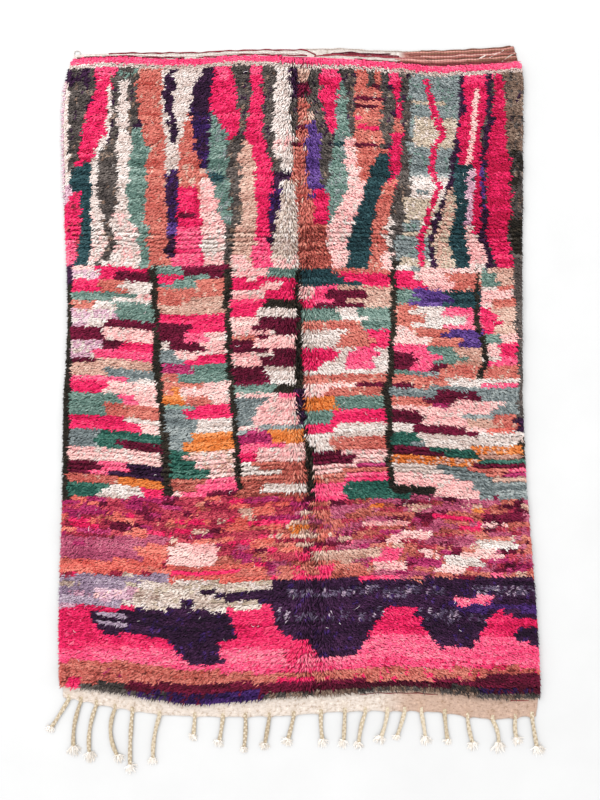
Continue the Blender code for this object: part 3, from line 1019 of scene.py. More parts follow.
def tufts(name, roots, turns, sizes, sways, strips):
    """Copies of the tuft. Sizes are width, length and height, and turns are from towards the fringe."""
    local = TUFT_POINTS[None] * sizes[:, None, :]
    local[:, TUFT_TIP, 0] += sways
    c, s = np.cos(turns)[:, None], np.sin(turns)[:, None]
    x = c * local[..., 0] - s * local[..., 1]
    y = s * local[..., 0] + c * local[..., 1]
    points = np.stack([x, y, local[..., 2]], axis=-1) + roots[:, None]
    faces = TUFT_FACES[None] + len(TUFT_POINTS) * np.arange(len(roots))[:, None, None]
    places = strip_map(strips[:, None], tuft_across[None], tuft_rise[None])[:, TUFT_FACES]
    return piece(name, points.reshape(-1, 3), faces.reshape(-1, 3), places.reshape(-1, 2))


# %% Round yarns along any path
def unit(vectors):
    return vectors / np.maximum(np.linalg.norm(vectors, axis=-1, keepdims=True), 1e-9)


def yarn_faces(steps, sides):
    """The triangles of a closed round yarn, and each of their corners' step along and turn round.
    Its points are one ring for each step, and then one in the middle of each end."""
    around = np.arange(sides)
    grids = np.meshgrid(np.arange(steps - 1), around, indexing="ij")
    step, turn = (grid.ravel() for grid in grids)
    first, last = np.zeros(sides, int), np.full(sides, steps - 1)

    def corner(step, turn):
        return step * sides + turn % sides, step, turn

    a, b = corner(step, turn), corner(step + 1, turn)
    c, d = corner(step + 1, turn + 1), corner(step, turn + 1)
    root = (first + steps * sides, first, around + 0.5)
    tip = (first + steps * sides + 1, last, around + 0.5)
    corners = [(a, b, c), (a, c, d)]
    corners.append((root, corner(first, around), corner(first, around + 1)))
    corners.append((tip, corner(last, around + 1), corner(last, around)))
    return (
        np.concatenate([np.stack([place[part] for place in face], axis=1) for face in corners])
        for part in range(3)
    )


def yarns(paths, radii, sides, strips, rises):
    """Round yarns along paths that have the same number of steps: points, triangles and map places."""
    count, steps = radii.shape
    along = unit(np.gradient(paths, axis=1))
    beside = unit(np.cross(along, (0.0, 0.0, 1.0)))
    above = np.cross(beside, along)
    angle = 2.0 * np.pi * np.arange(sides) / sides
    ring = np.cos(angle)[:, None] * beside[:, :, None] + np.sin(angle)[:, None] * above[:, :, None]
    rings = paths[:, :, None] + radii[:, :, None, None] * ring
    outward = np.array([-0.7, 0.7])[:, None] * along[:, [0, -1]] * radii[:, [0, -1], None]
    ends = paths[:, [0, -1]] + outward
    points = np.concatenate([rings.reshape(count, -1, 3), ends], axis=1)

    faces, step_at, turn_at = yarn_faces(steps, sides)
    rise = rises[:, step_at]
    # The two ends take their colour from just past the yarn's own stretch of the map.
    rise[:, -2 * sides : -sides, 0] -= 0.004
    rise[:, -sides:, 0] += 0.004
    places = strip_map(strips[:, None, None], turn_at[None] / sides, rise)
    faces = faces[None] + points.shape[1] * np.arange(count)[:, None, None]
    return points.reshape(-1, 3), faces.reshape(-1, 3), places.reshape(-1, 2)


def gather(parts):
    """Several results of yarns() as one."""
    starts = np.cumsum([0] + [len(points) for points, _, _ in parts])[:-1]
    points, faces, places = zip(*parts)
    faces = [part + start for part, start in zip(faces, starts)]
    return np.concatenate(points), np.concatenate(faces), np.concatenate(places)

# %% [markdown]
# ## Wool for Blender
#
# Wool is matt, with a faint halo where its loose fibres catch the light from the side, so the
# materials have high roughness, low specular and some sheen. Every yarn shares one recipe: its
# three shades lie side by side in its map, it is painted darker at the root as shade deep in the
# pile, and fine fibres run along it.

# %% A recipe for materials
def grey(level):
    return (level, level, level, 1.0)


class Recipe:
    """A material with short ways to add its nodes."""

    def __init__(self, name, sheen=0.12, tint=(1.0, 1.0, 1.0, 1.0)):
        self.material = bpy.data.materials.new(name)
        self.material.use_nodes = True
        self.tree = self.material.node_tree
        self.surface = self.tree.nodes["Principled BSDF"]
        self.surface.inputs["Specular IOR Level"].default_value = 0.15
        self.surface.inputs["Sheen Weight"].default_value = sheen
        self.surface.inputs["Sheen Roughness"].default_value = 0.45
        self.surface.inputs["Sheen Tint"].default_value = tint

    def add(self, kind, inputs, output=0, **settings):
        """Adds a node, fills its inputs with values or other nodes' outputs, and returns an output."""
        node = self.tree.nodes.new("ShaderNode" + kind)
        for key, value in settings.items():
            setattr(node, key, value)
        for key, value in inputs.items():
            if isinstance(value, bpy.types.NodeSocket):
                self.tree.links.new(value, node.inputs[key])
            else:
                node.inputs[key].default_value = value
        return node.outputs[output]

    def place(self, name, scale):
        """Coordinates from one of the piece's maps, stretched."""
        found = self.add("UVMap", {}, uv_map=name)
        return self.add("Mapping", {"Vector": found, "Scale": scale})

    def across_and_along(self, name):
        """The two coordinates of one of the piece's maps."""
        parts = self.tree.nodes.new("ShaderNodeSeparateXYZ")
        self.tree.links.new(self.add("UVMap", {}, uv_map=name), parts.inputs[0])
        return parts.outputs[0], parts.outputs[1]

    def noise(self, where, scale=1.0, detail=2.0, rough=0.6):
        words = {"Vector": where, "Scale": scale, "Detail": detail, "Roughness": rough}
        return self.add("TexNoise", words, "Fac")

    def math(self, operation, first, second=0.0):
        return self.add("Math", {0: first, 1: second}, operation=operation)

    def plus(self, first, second):
        return self.math("ADD", first, second)

    def times(self, value, factor):
        return self.math("MULTIPLY", value, factor)

    def between(self, value, low, high, start=0.0, stop=1.0):
        """A value moved from one range to another."""
        words = {"Value": value, "From Min": start, "From Max": stop, "To Min": low, "To Max": high}
        return self.add("MapRange", words, "Result")

    def wave(self, value, waves=1.0):
        """From 0 to 1 and back, this many times for each unit of the value."""
        return self.between(self.math("SINE", self.times(value, 2.0 * math.pi * waves)), 0.0, 1.0, -1.0, 1.0)

    def ramp(self, value, *stops):
        """A colour from stops of (place, colour), or of (place, grey level)."""
        node = self.tree.nodes.new("ShaderNodeValToRGB")
        self.tree.links.new(value, node.inputs["Fac"])
        stops = [(place, grey(shade) if isinstance(shade, float) else shade) for place, shade in stops]
        elements = node.color_ramp.elements
        elements[0].position, elements[0].color = stops[0]
        elements[1].position, elements[1].color = stops[-1]
        for place, colour in stops[1:-1]:
            elements.new(place).color = colour
        return node.outputs["Color"]

    def shade(self, colour, by):
        """A colour multiplied by another."""
        words = {0: 1.0, 6: colour, 7: by}
        return self.add("Mix", words, 2, data_type="RGBA", blend_type="MULTIPLY", clamp_result=False)

    def finish(self, colour, rough, height, strength, distance):
        self.tree.links.new(colour, self.surface.inputs["Base Color"])
        self.tree.links.new(rough, self.surface.inputs["Roughness"])
        raised = self.add("Bump", {"Height": height, "Strength": strength, "Distance": distance}, "Normal")
        self.tree.links.new(raised, self.surface.inputs["Normal"])
        return self.material


# %% The wool material
GAIN = 0.715  # the light is strong, so the yarns are dyed a little darker than the rug looks


def wool(name, shades, root=0.74, twist=0.0, gain=GAIN):
    """A yarn's material. Twist is how many times its ply shows from one end of its map to the other.
    Root is how dark its painted shade is at a tuft's root, or between the plies of a twisted yarn.
    """
    dark, mid, light = ((*np.clip(gain * linear(shade), 0.0, 0.95), 1.0) for shade in shades)
    recipe = Recipe(name, tint=light)
    across_map, along_map = recipe.across_and_along("OFBake")
    fibres = recipe.noise(recipe.place("OFBake", (3.0 * SHADES, 7.0 + 2.0 * twist, 1.0)), detail=3.0)
    patches = recipe.noise(recipe.place("OFBake", (0.9 * SHADES, 2.0 + 0.3 * twist, 1.0)), detail=1.0)
    tone = recipe.plus(across_map, recipe.between(patches, -0.22, 0.22))
    colour = recipe.ramp(tone, (0.08, dark), (0.5, mid), (0.92, light))
    # Painted shade: a twisted yarn is darker in the grooves between its plies, and a tuft darker towards its
    # root, down in the pile.
    if twist:
        ply = recipe.wave(recipe.plus(recipe.times(along_map, twist), recipe.times(across_map, SHADES)))
        depth = recipe.ramp(ply, (0.0, root), (0.45, 0.9), (1.0, 1.0))
        height = recipe.plus(recipe.times(fibres, 0.4), ply)
    else:
        depth = recipe.ramp(along_map, (0.0, root), (0.4, 0.5 + 0.5 * root), (0.75, 1.0))
        height = fibres
    colour = recipe.shade(colour, depth)
    colour = recipe.shade(colour, recipe.ramp(fibres, (0.3, 0.80), (0.55, 0.96), (0.75, 1.0)))
    return recipe.finish(colour, recipe.between(fibres, 0.80, 0.96), height, 0.35, 0.0006)

# %% [markdown]
# ## The pile
#
# Each knot stamps its five tufts, one above the other. How a tuft lies is partly the whole rug's
# habit and partly its own: the pile leans left in the left half and right in the right half, parted
# by the crease between them, some rows stand a little shorter, and every tuft turns its own way. A
# lean that was the same for all would look combed.

# %% Habits of the pile
OPEN_PATCH = (0.03, 204.0)  # how far across in metres, and how far down in cm


def drift(x, y, k):
    """A slow change over the rug, from -1 to 1, another one for each k."""
    total = np.sin(5.1 * x + 3.3 * y + k) + np.sin(7.9 * y - 3.7 * x + 2 * k)
    return (total + np.sin(11.3 * x - 2.9 * y + 3 * k)) / 3


def near_fold(x, y):
    """1 on the crease, 0 well away from it."""
    return bell(x - fold_line(y), 0.030)


def parting(x, y):
    """1 where the pile was bent back and its rows show as lines, 0 where they are hidden."""
    from_top = 100.0 * (CHART_TOP - y) + 1.2 * np.sin(4.5 * x)
    rows_bent = bell(from_top - 61.0, 6.0) + 0.9 * bell(from_top - 139.0, 6.0)
    return rows_bent * (1.0 + 0.3 * drift(x, y, 2.0)) * (1.0 - 0.9 * bell(x + 0.01, 0.05))


def opened(x, y):
    """1 where the pile stands open: along the crease, and in a patch near the cords."""
    from_top = 100.0 * (CHART_TOP - y)
    patch_x, patch_down = OPEN_PATCH
    patch = np.exp(-(((from_top - patch_down) / 6.0) ** 2) - ((x - patch_x) / 0.08) ** 2)
    return np.maximum(near_fold(x, y), 0.8 * patch)


def clipped(values):
    """Random values without their furthest strays."""
    return np.clip(values, -2, 2)


# %% Where each tuft stands
TUFT_WIDTH = 0.0046
TUFT_LENGTH = 0.0205
ROOT_HEIGHT = 0.002
TUFTS = 5  # for each knot
TUFT_STEPS = np.array([0.0, -0.0065, 0.0035, -0.0030, 0.0060])  # up the rug from the knot's own row
FLATTENED = np.array([0.0, 0.65, 0.0, 0.65, 0.0])  # these tufts lie under the others in open pile
AT_ROW_EDGE = np.array([0.0, 1.0, 0.0, 0.0, 1.0])  # these stand between two rows of knots

each = draw.normal(0.0, 1.0, (ROWS, KNOTS, TUFTS, 6))
by_row = draw.normal(0.0, 1.0, (ROWS, 1, 1, 3))
# Sixteen knots at a time are tied from one lot of yarn.
lots = np.repeat(draw.normal(0.0, 1.0, (ROWS, KNOTS // 16 + 1)), 16, axis=1)[:, :KNOTS, None]
row_number = np.arange(ROWS)

x = knot_x[..., None] + KNOT / TUFTS * (np.arange(TUFTS) - 2.0) + 0.0010 * each[..., 0]
y_knot = knot_y[..., None]
parted = parting(x, y_knot)
in_panels = smooth((0.46 - y_knot) / 0.03)
spread = TUFT_STEPS * (1.0 - 0.48 * parted) * (1.0 - 0.10 * in_panels)
y = y_knot + 0.0008 * by_row[..., 0] + spread * (1.0 - 0.5 * lined[..., None])
y = y + 0.0016 * (1.0 - 0.50 * parted) * clipped(each[..., 1])
y = y + 0.0016 * parted * np.sin(70.0 * x + 2.0 * by_row[..., 2])
loosened = opened(x, y)
row_edge = AT_ROW_EDGE * parted

# %% Which way each tuft lies, and how long it is
from_fold = x - fold_line(y)
by_fold = near_fold(x, y)
# Away from the crease the tufts lie outwards, and on its two banks they fall in over it.
splay = 70.0 * np.tanh(from_fold / 0.09) * (1.0 - by_fold) - 32.0 * np.tanh(from_fold / 0.006) * by_fold
splay = splay * (1.0 - 0.5 * smooth((row_number - ROWS + 3.0) / 2.0))[:, None, None]
turn = np.radians(splay - 2.0 + 9.0 * drift(x, y, 1.0) + 3.0 * by_row[..., 1] + 17.0 * each[..., 2])
width = TUFT_WIDTH * (1.0 - 0.30 * loosened) * (1.0 + 0.15 * clipped(each[..., 3]))
length = TUFT_LENGTH * (1.0 - 0.05 * parted + 0.25 * loosened)
length = length * np.where(row_number < 2, 0.85, 1.0)[:, None, None]
length = length * (1.0 + 0.03 * by_row[..., 2] + 0.11 * clipped(each[..., 4]))
# At the sides no tuft of the pile may reach far past the cloth.
beside_pale = (down > 7) & (down < 50)
short_of_side = np.where(beside_pale[..., None] | (down[..., None] < 7), -0.001, 0.007)
least = np.arcsin(np.clip((side("left", y) - short_of_side - x) / length, -1.0, 1.0))
most = np.arcsin(np.clip((side("right", y) + 0.003 - x) / length, -1.0, 1.0))
turn = np.clip(turn, least, most)

# %% How high each tuft stands, and its shade
in_fold = bell(from_fold, 0.0045) * (0.75 + 0.25 * np.sin(19.0 * y))
top = pile_height(x, y) + 0.0010 * clipped(each[..., 5])
top = top + 0.0004 * clipped(draw.normal(0.0, 1.0, (ROWS, KNOTS, 1))) + 0.0007 * lined[..., None]
height = (top - ROOT_HEIGHT) / TUFT_TOP
height = height * (1.0 - FLATTENED * loosened) * (1.0 - 0.45 * in_fold)
height = height * (1.0 - 0.42 * np.minimum(row_edge, 1.0))
# The far end is painted with shade, darker above all on the right, and the reds most of all.
painted_far_shade = smooth((y - 0.30) / 0.35) * (0.09 + 0.19 * smooth((x + 0.10) / 0.55))
reds = (chart == NAMES.index("crimson")) | (chart == NAMES.index("rose"))
painted_far_shade = painted_far_shade * np.where(reds, 1.0, 0.25)[..., None]
tone = 0.5 - painted_far_shade + 0.13 * drift(x, y, 4.0) + 0.10 * lots + 0.07 * by_row[..., 1]
# Painted shade: tufts are darker in the wrinkles, down in the crease and between parted rows.
tone = tone - 0.60 * wrinkled(x, y)
tone = tone - 0.60 * in_fold - 0.30 * row_edge
tone = tone + 0.05 * draw.normal(0.0, 1.0, (ROWS, KNOTS, 1))
tone = tone + (0.15 + 0.15 * loosened) * draw.normal(0.0, 1.0, x.shape)
yarn = np.repeat(chart[..., None], TUFTS, axis=2)
columns = [part.ravel() for part in (x, y, turn, width, length, height, tone, yarn)]
# The pink row at the far end is a double one, so its tufts are set again, a little further up.
again = [part[0] for part in (x, y + 0.0050, turn, width, length, height, tone[:, ::-1], yarn)]
columns = [np.concatenate([column, part.ravel()]) for column, part in zip(columns, again)]
print(len(columns[0]), "tufts stand on the cloth")

# %% The shaggy sides
# At the sides the tufts have no neighbour to lean on, so they fall outwards over the floor.
SIDE_TUFTS = 13  # for each row of knots
SIDE_REACH = {"left": 0.0135, "right": 0.0075}
SIDE_START = {"left": (0.000, 0.006), "right": (0.004, 0.010)}
for column, name, way in ((0, "left", -1.0), (-1, "right", 1.0)):
    shape = (ROWS, SIDE_TUFTS)
    y = knot_y[:, [column]] + ROW * draw.uniform(-0.5, 0.5, shape)
    x = side(name, y) - way * draw.uniform(*SIDE_START[name], shape)
    turn = way * np.radians(draw.uniform(35.0, 95.0, shape))
    width = TUFT_WIDTH * draw.uniform(0.8, 1.2, shape)
    length = SIDE_REACH[name] * draw.uniform(0.7, 1.2, shape)
    height = draw.uniform(0.007, 0.015, shape)
    tone = draw.normal(0.55, 0.2, shape)
    yarn = np.repeat(chart[:, [column]], SIDE_TUFTS, axis=1)
    if name == "left":
        # Beside the far part of the left edge, the weaver wrapped the last warps in pale yarns.
        edge_is_pale = beside_pale[:, [0]]
        pale = np.where(draw.random(shape) < 0.7, NAMES.index("lilac"), NAMES.index("cream"))
        yarn = np.where(edge_is_pale, pale, yarn)
        length = np.where(edge_is_pale, 1.3 * length, length)
        length = np.where(down[:, [0]] < 3, 0.4 * length, length)
    for k, part in enumerate((x, y, turn, width, length, height, tone, yarn)):
        columns[k] = np.concatenate([columns[k], part.ravel()])
print(len(columns[0]), "tufts with those of the sides")

# %% Stamp them, one piece for each yarn
x, y, turn, width, length, height, tone, yarn = columns
strip = np.floor(SHADES * np.clip(tone, 0.0, 0.999))
roots = np.stack([x, y, np.full(x.shape, ROOT_HEIGHT)], axis=1)
sizes = np.stack([width, length, height], axis=1)
sway = 0.13 * length * draw.normal(0.0, 1.0, x.shape)
pile = []
for k, name in enumerate(NAMES):
    here = yarn == k
    made = tufts("pile_" + name, roots[here], turn[here], sizes[here], sway[here], strip[here])
    made.data.materials.append(wool("wool_" + name, YARNS[name], root=0.80 if name in PALE else 0.74))
    pile.append(made)
print(len(x), "tufts,", sum(len(made.data.polygons) for made in pile), "triangles in", len(pile), "pieces")

# %% [markdown]
# ## The ground
#
# Under the pile lies the cloth that holds it, 4.5 mm thick. It starts as a grid with one cell for
# each knot, so that every cell can take its knot's colour: that is what the back of a knotted rug
# shows. The grid's points are moved onto the rug's outline, and a Solidify modifier makes it cloth.

# %% Lay out the grid
NEAR_LINES = 9  # cells between the cords and the pile
FAR_LINES = 8  # cells between the pile and the far edge
PILE_END = NEAR_LINES + ROWS
LINES = PILE_END + FAR_LINES


def fetch(things, key, size=1, kind=np.float64):
    """One property of many things, as an array."""
    found = np.empty(size * len(things), kind)
    things.foreach_get(key, found)
    return found if size == 1 else found.reshape(-1, size)


bpy.ops.object.select_all(action="DESELECT")
bpy.ops.mesh.primitive_grid_add(x_subdivisions=KNOTS, y_subdivisions=LINES, size=2.0)
ground = bpy.context.active_object
ground.name = "ground"
count = len(ground.data.vertices)
flat = fetch(ground.data.vertices, "co", 3)
share = 0.5 + 0.5 * flat[:, 0]
line = np.round((0.5 + 0.5 * flat[:, 1]) * LINES)


def line_at(x, line):
    """Where a line of the grid crosses a place."""
    columns = ("cord_roots", "pile_start", "pile_end", "far_edge")
    roots, start, stop, far = (end(name, x) for name in columns)
    near = roots + (start - roots) * line / NEAR_LINES
    rows = start + (stop - start) * (line - NEAR_LINES) / ROWS
    beyond = stop + (far - stop) * (line - NEAR_LINES - ROWS) / FAR_LINES
    return np.where(line < NEAR_LINES, near, np.where(line < PILE_END, rows, beyond))


x = LEFT + WIDTH * share
# The lines bow with x and the sides with y, as for the knots.
for _ in range(3):
    y = line_at(x, line)
    x = across_cloth(share, y)
print("The grid has", count, "points and", len(ground.data.polygons), "cells")

# %% Raise the weave at the cords
# A cord's root, the sideways place of its middle and of its end, its length, and its frayed tuft
CORDS = table("Cord", "root middle end length tuft_drift tuft_length", """
    -0.768 -0.028 -0.058 0.094 -0.007 0.020
    -0.728 -0.020 -0.022 0.148 0.000 0.035
    -0.676 -0.021 -0.021 0.157 -0.001 0.032
    -0.614 -0.014 0.011 0.154 0.015 0.027
    -0.556 -0.006 -0.006 0.176 0.012 0.028
    -0.466 -0.017 -0.020 0.142 -0.010 0.022
    -0.349 -0.002 -0.005 0.060 -0.007 0.020
    -0.256 -0.005 -0.012 0.077 -0.004 0.023
    -0.181 0.000 -0.005 0.099 0.005 0.017
    -0.102 -0.007 -0.015 0.088 -0.008 0.021
    -0.021 -0.009 -0.019 0.077 -0.009 0.025
    0.070 0.000 0.005 0.085 -0.003 0.027
    0.149 -0.002 -0.005 0.094 -0.001 0.025
    0.217 -0.015 -0.023 0.102 -0.002 0.022
    0.290 -0.008 -0.022 0.082 -0.009 0.027
    0.347 -0.012 -0.026 0.080 -0.003 0.016
    0.403 0.007 0.013 0.082 0.000 0.028
    0.480 0.004 0.009 0.085 -0.003 0.019
    0.556 0.006 0.017 0.085 -0.005 0.025
    0.639 0.016 0.018 0.077 0.006 0.034
    0.714 -0.001 0.004 0.065 0.019 0.025
    0.770 0.007 0.015 0.100 0.022 0.031
""")
FELT_DEPTH = 0.0082  # the knots are packed to a felt up to this far below the top of the pile
RIDGE_REACH = 0.055  # how far the gathered warps show in the weave
RIDGE_HEIGHT = 0.0028
RIDGE_WIDTH = 0.011


def ridges(x, y):
    """How far the warps gathered for each cord raise the weave, from 0 to 1."""
    fade = 1.0 - smooth((y - end("cord_roots", x)) / RIDGE_REACH)
    return fade * sum(bell(x - cord.root, RIDGE_WIDTH) for cord in CORDS)


scallop = 0.0036 * (1.0 - 1.6 * np.clip(ridges(x, y), 0.0, 1.0))
scallop = scallop + 0.0012 * np.sin(83.0 * x) * np.sin(31.0 * x)
y = y + scallop * np.clip(1.0 - line / 4.0, 0.0, 1.0)
z = ground_height(x, y) + RIDGE_HEIGHT * ridges(x, y)
from_sides = np.minimum(share, 1.0 - share) / 0.010
from_ends = np.minimum(line - NEAR_LINES, PILE_END - line) / 1.5
felt = pile_height(x, y) - FELT_DEPTH * (1.0 + 1.2 * opened(x, y) + 0.8 * parting(x, y))
z = z + smooth(np.minimum(from_sides, from_ends)) * (np.maximum(felt, GROUND) - z)
put(ground.data.vertices, "co", np.stack([x, y, z], axis=1) + STEP)
ground.data.update()
print("The ground is up to", round(1000 * float(z.max()), 1), "mm high")

# %% Thicken it, and flatten its underside onto the floor
UNDERSIDE = 0.0002
bpy.ops.object.modifier_add(type="SOLIDIFY")
ground.modifiers[-1].thickness = 0.003
ground.modifiers[-1].offset = -1.0
ground.modifiers[-1].use_even_offset = False
bpy.ops.object.modifier_apply(modifier=ground.modifiers[-1].name)
cloth = ground.data
points = fetch(cloth.vertices, "co", 3)
points[count:, :2] = points[:count, :2]
points[count:, 2] = UNDERSIDE
put(cloth.vertices, "co", points)
cloth.update()
print("The cloth is", len(cloth.polygons), "faces; lowest", round(float(points[:, 2].min()), 5))

# %% Its maps
# The top takes the upper half of the map, the underside the lower half, and the rim lies between.
corner_point = fetch(cloth.loops, "vertex_index", kind=np.int32)
face_size = fetch(cloth.polygons, "loop_total", kind=np.int32)
corner_face = np.repeat(np.arange(len(face_size)), face_size)
under = corner_point >= count
grid_point = np.where(under, corner_point - count, corner_point)
corner_share, corner_line = share[grid_point], line[grid_point]


def face_mean(values):
    """The mean of each face's corners."""
    return np.bincount(corner_face, values) / face_size


is_under = face_mean(under)
on_rim = (is_under > 0.1) & (is_under < 0.9)
rim_corner = on_rim[corner_face]
rim_number = (np.cumsum(on_rim) - 1)[corner_face]
# Of a rim face's corners, two lie to one side of its middle: they share one end of its strip.
spot = corner_share * 3.0 + corner_line * 5.0
far_half = spot > face_mean(spot)[corner_face]
map_v = corner_line / LINES
place_u = np.where(rim_corner, (rim_number + far_half) / int(on_rim.sum()), corner_share)
place_v = np.where(under, 0.005 + 0.49 * map_v, 0.505 + 0.49 * map_v)
place_v = np.where(rim_corner, np.where(under, 0.4975, 0.5025), place_v)
cloth.uv_layers[0].name = "OFBake"
put(cloth.uv_layers["OFBake"].uv, "vector", np.stack([place_u, place_v], axis=1))
rows_along = np.where(
    line < NEAR_LINES,
    (y - end("pile_start", x)) / ROW,
    np.where(line <= PILE_END, line - NEAR_LINES, ROWS + (y - end("pile_end", x)) / ROW),
)
weave_places = np.stack([share * KNOTS, rows_along], axis=1)[grid_point]
put(cloth.uv_layers.new(name="Weave").uv, "vector", weave_places)
print(int(on_rim.sum()), "faces round the rim")

# %% The colour of each corner
FAR_LEFT = (182, 172, 166)
FAR_RIGHT = groups_of_three("""
    122 82 68 148 92 84 132 78 72 158 106 96
    146 90 82 124 78 68 158 106 98 138 82 76
""".split())
NEAR_LEFT = (191, 179, 169)
NEAR_RIGHT = (168, 142, 126)
GATHERED = np.array([0.10, 0.15, 0.22])  # how much less red, green and blue the gathered warps show

cell_share, cell_line = face_mean(corner_share)[corner_face], face_mean(corner_line)[corner_face]
cell_column = np.clip((cell_share * KNOTS).astype(int), 0, KNOTS - 1)
cell_row = np.clip((PILE_END - cell_line).astype(int), 0, ROWS - 1)
corner_x, corner_y = x[grid_point], y[grid_point]


def to_the_right(first, second, start, reach):
    """One colour that gives way to another across the rug."""
    share = smooth((corner_x - start) / reach)[:, None]
    return first * (1.0 - share) + second * share


# Painted shade: on top, the felt seen in the gaps of the pile is darker than its yarn, and darker still
# where the pile stands open. The underside keeps the knots' full colour.
painted_felt_shade = np.where(under, 1.0, 0.84 - 0.50 * opened(corner_x, corner_y))
mid_shades = np.array([linear(YARNS[name][1]) for name in NAMES])
paint = mid_shades[chart[cell_row, cell_column]] * painted_felt_shade[:, None]
near_paint = to_the_right(linear(NEAR_LEFT), linear(NEAR_RIGHT), 0.24, 0.14)
near_paint = near_paint * (1.0 - np.clip(ridges(corner_x, corner_y), 0.0, 1.0)[:, None] * GATHERED)
stripes = np.array([linear(shade) for shade in FAR_RIGHT])
level = np.clip(LINES - np.floor(corner_line).astype(int), 0, len(stripes) - 1)
far_paint = to_the_right(linear(FAR_LEFT), stripes[level], 0.34, 0.03)
paint = np.where((cell_line > PILE_END)[:, None], far_paint, paint)
paint = np.where((cell_line < NEAR_LINES)[:, None], near_paint, paint)
colours = cloth.color_attributes.new(name="Yarn", type="FLOAT_COLOR", domain="CORNER")
put(colours.data, "color", np.concatenate([paint, np.ones((len(paint), 1))], axis=1))
cloth.shade_smooth()

# %% The weave material
def ground_weave():
    recipe = Recipe("ground_weave", sheen=0.2)
    dyed = recipe.add("VertexColor", {}, "Color", layer_name="Yarn")
    knots_across, rows_along = recipe.across_and_along("Weave")
    slubs = recipe.noise(recipe.place("Weave", (0.35, 6.0, 1.0)), detail=3.0)
    fine = recipe.noise(recipe.place("Weave", (4.0, 18.0, 1.0)), detail=2.0)
    wander = recipe.noise(recipe.place("Weave", (0.12, 0.9, 1.0)), detail=1.0)
    pills = recipe.noise(recipe.place("Weave", (0.55, 1.3, 1.0)), detail=2.0, rough=0.7)
    # Six wefts to a row, drawn slightly off their lines, over warps half a knot apart.
    ribs = recipe.wave(recipe.plus(recipe.times(rows_along, 6.0), recipe.times(wander, 3.0)))
    warps = recipe.wave(knots_across, 2.0)
    weave = recipe.plus(recipe.times(ribs, 0.7), recipe.times(warps, 0.3))
    rusty = (0.68, 0.62, 0.56, 1.0)
    colour = recipe.shade(dyed, recipe.ramp(slubs, (0.25, 0.70), (0.5, 0.92), (0.7, 1.0)))
    # Painted shade: the weave is darker in the grooves between its wefts and its warps.
    colour = recipe.shade(colour, recipe.ramp(weave, (0.0, 0.72), (0.5, 0.97), (1.0, 1.0)))
    colour = recipe.shade(colour, recipe.ramp(pills, (0.34, rusty), (0.47, 0.97), (0.60, 1.0), (0.70, 1.35)))
    height = recipe.plus(recipe.times(slubs, 0.8), weave)
    height = recipe.plus(height, recipe.times(fine, 0.4))
    return recipe.finish(colour, recipe.between(fine, 0.82, 0.97), height, 0.8, 0.0010)


cloth.materials.clear()
cloth.materials.append(ground_weave())

# %% [markdown]
# ## Yarns that cross the flat ends
#
# The flat ends are woven so close that only their wefts show, and the weaver changed those too: a
# dark red one along the far edge, maroon ones where the pile begins, and browns and pinks on the
# right. Each is laid as a yarn of its own over the plain cloth.

# %% A yarn across a flat end
def crossing(level, start, stop, radius, wave=0.0009, seed=0.0):
    """A yarn across a flat end. Level gives its place along the rug for each place across it."""
    x = np.arange(start, stop, 0.006)
    y = level(x) + wave * np.sin(95.0 * x + seed) + 0.7 * wave * np.sin(41.0 * x + 2.0 * seed)
    z = ground_height(x, y) + 0.35 * radius + 0.0004 * np.sin(150.0 * x + seed)
    thick = radius * (1.0 + 0.18 * np.sin(61.0 * x + seed) + 0.12 * np.sin(149.0 * x))
    rise = np.clip((x + 0.84) / 1.68, 0.01, 0.99)
    strip = np.array([(37.0 * seed) % SHADES])
    return yarns(np.stack([x, y, z], axis=1)[None], thick[None], 5, np.floor(strip), rise[None])


def far_band(*places):
    """Along the far end, from places of (across, share). Share 0 is the pile, 1 is the far edge."""
    stations, shares = zip(*places)

    def level(x):
        pile, edge = end("pile_end", x), end("far_edge", x)
        return pile + (edge - pile) * np.interp(x, stations, shares)

    return level


def near_band(share):
    """Along the near end: share 0 is the pile, 1 is where the cords leave."""
    return lambda x: end("pile_start", x) + (end("cord_roots", x) - end("pile_start", x)) * share


CROSSING_SHADES = shades("""
    edge_red 120 26 40 158 46 58 194 84 90
    pile_maroon 76 18 32 116 34 48 156 66 76
    edge_pale 186 172 162 216 204 196 236 228 222
    edge_umber 96 60 48 132 90 72 168 126 106
    edge_brown 124 66 60 164 98 90 200 140 128
    edge_pink 160 92 90 196 132 124 220 170 160
""")
crossings = {name: [] for name in CROSSING_SHADES}

# %% Lay the crossing yarns
# Each yarn's share of the way from the pile to the far edge, where it starts and stops, and its radius
STRAIGHT = """
    edge_umber 0.97 0.42 0.735 0.0022
    edge_brown 0.87 0.37 0.742 0.0027
    edge_umber 0.78 0.42 0.748 0.0024
    edge_brown 0.69 0.38 0.752 0.0028
    edge_pink 0.60 0.42 0.70 0.0025
    edge_brown 0.51 0.38 0.754 0.0027
    edge_umber 0.43 0.44 0.756 0.0022
    edge_pink 0.34 0.33 0.62 0.0027
    edge_brown 0.34 0.62 0.756 0.0027
    edge_pink 0.25 0.35 0.58 0.0026
    edge_umber 0.25 0.58 0.757 0.0026
    edge_brown 0.16 0.34 0.758 0.0026
    pile_maroon 0.07 0.19 0.72 0.0018
    pile_maroon 0.18 -0.775 -0.40 0.0027
    pile_maroon 0.16 -0.36 0.03 0.0022
    edge_pale 0.50 -0.75 0.0 0.0018
    edge_pale 0.97 0.02 0.42 0.0017
"""
for words in STRAIGHT.strip().splitlines():
    name, *sizes = words.split()
    up, start, stop, radius = map(float, sizes)
    level = far_band((-1.0, up), (1.0, up))
    crossings[name].append(crossing(level, start, stop, radius, seed=0.3 + 7.0 * up + start))
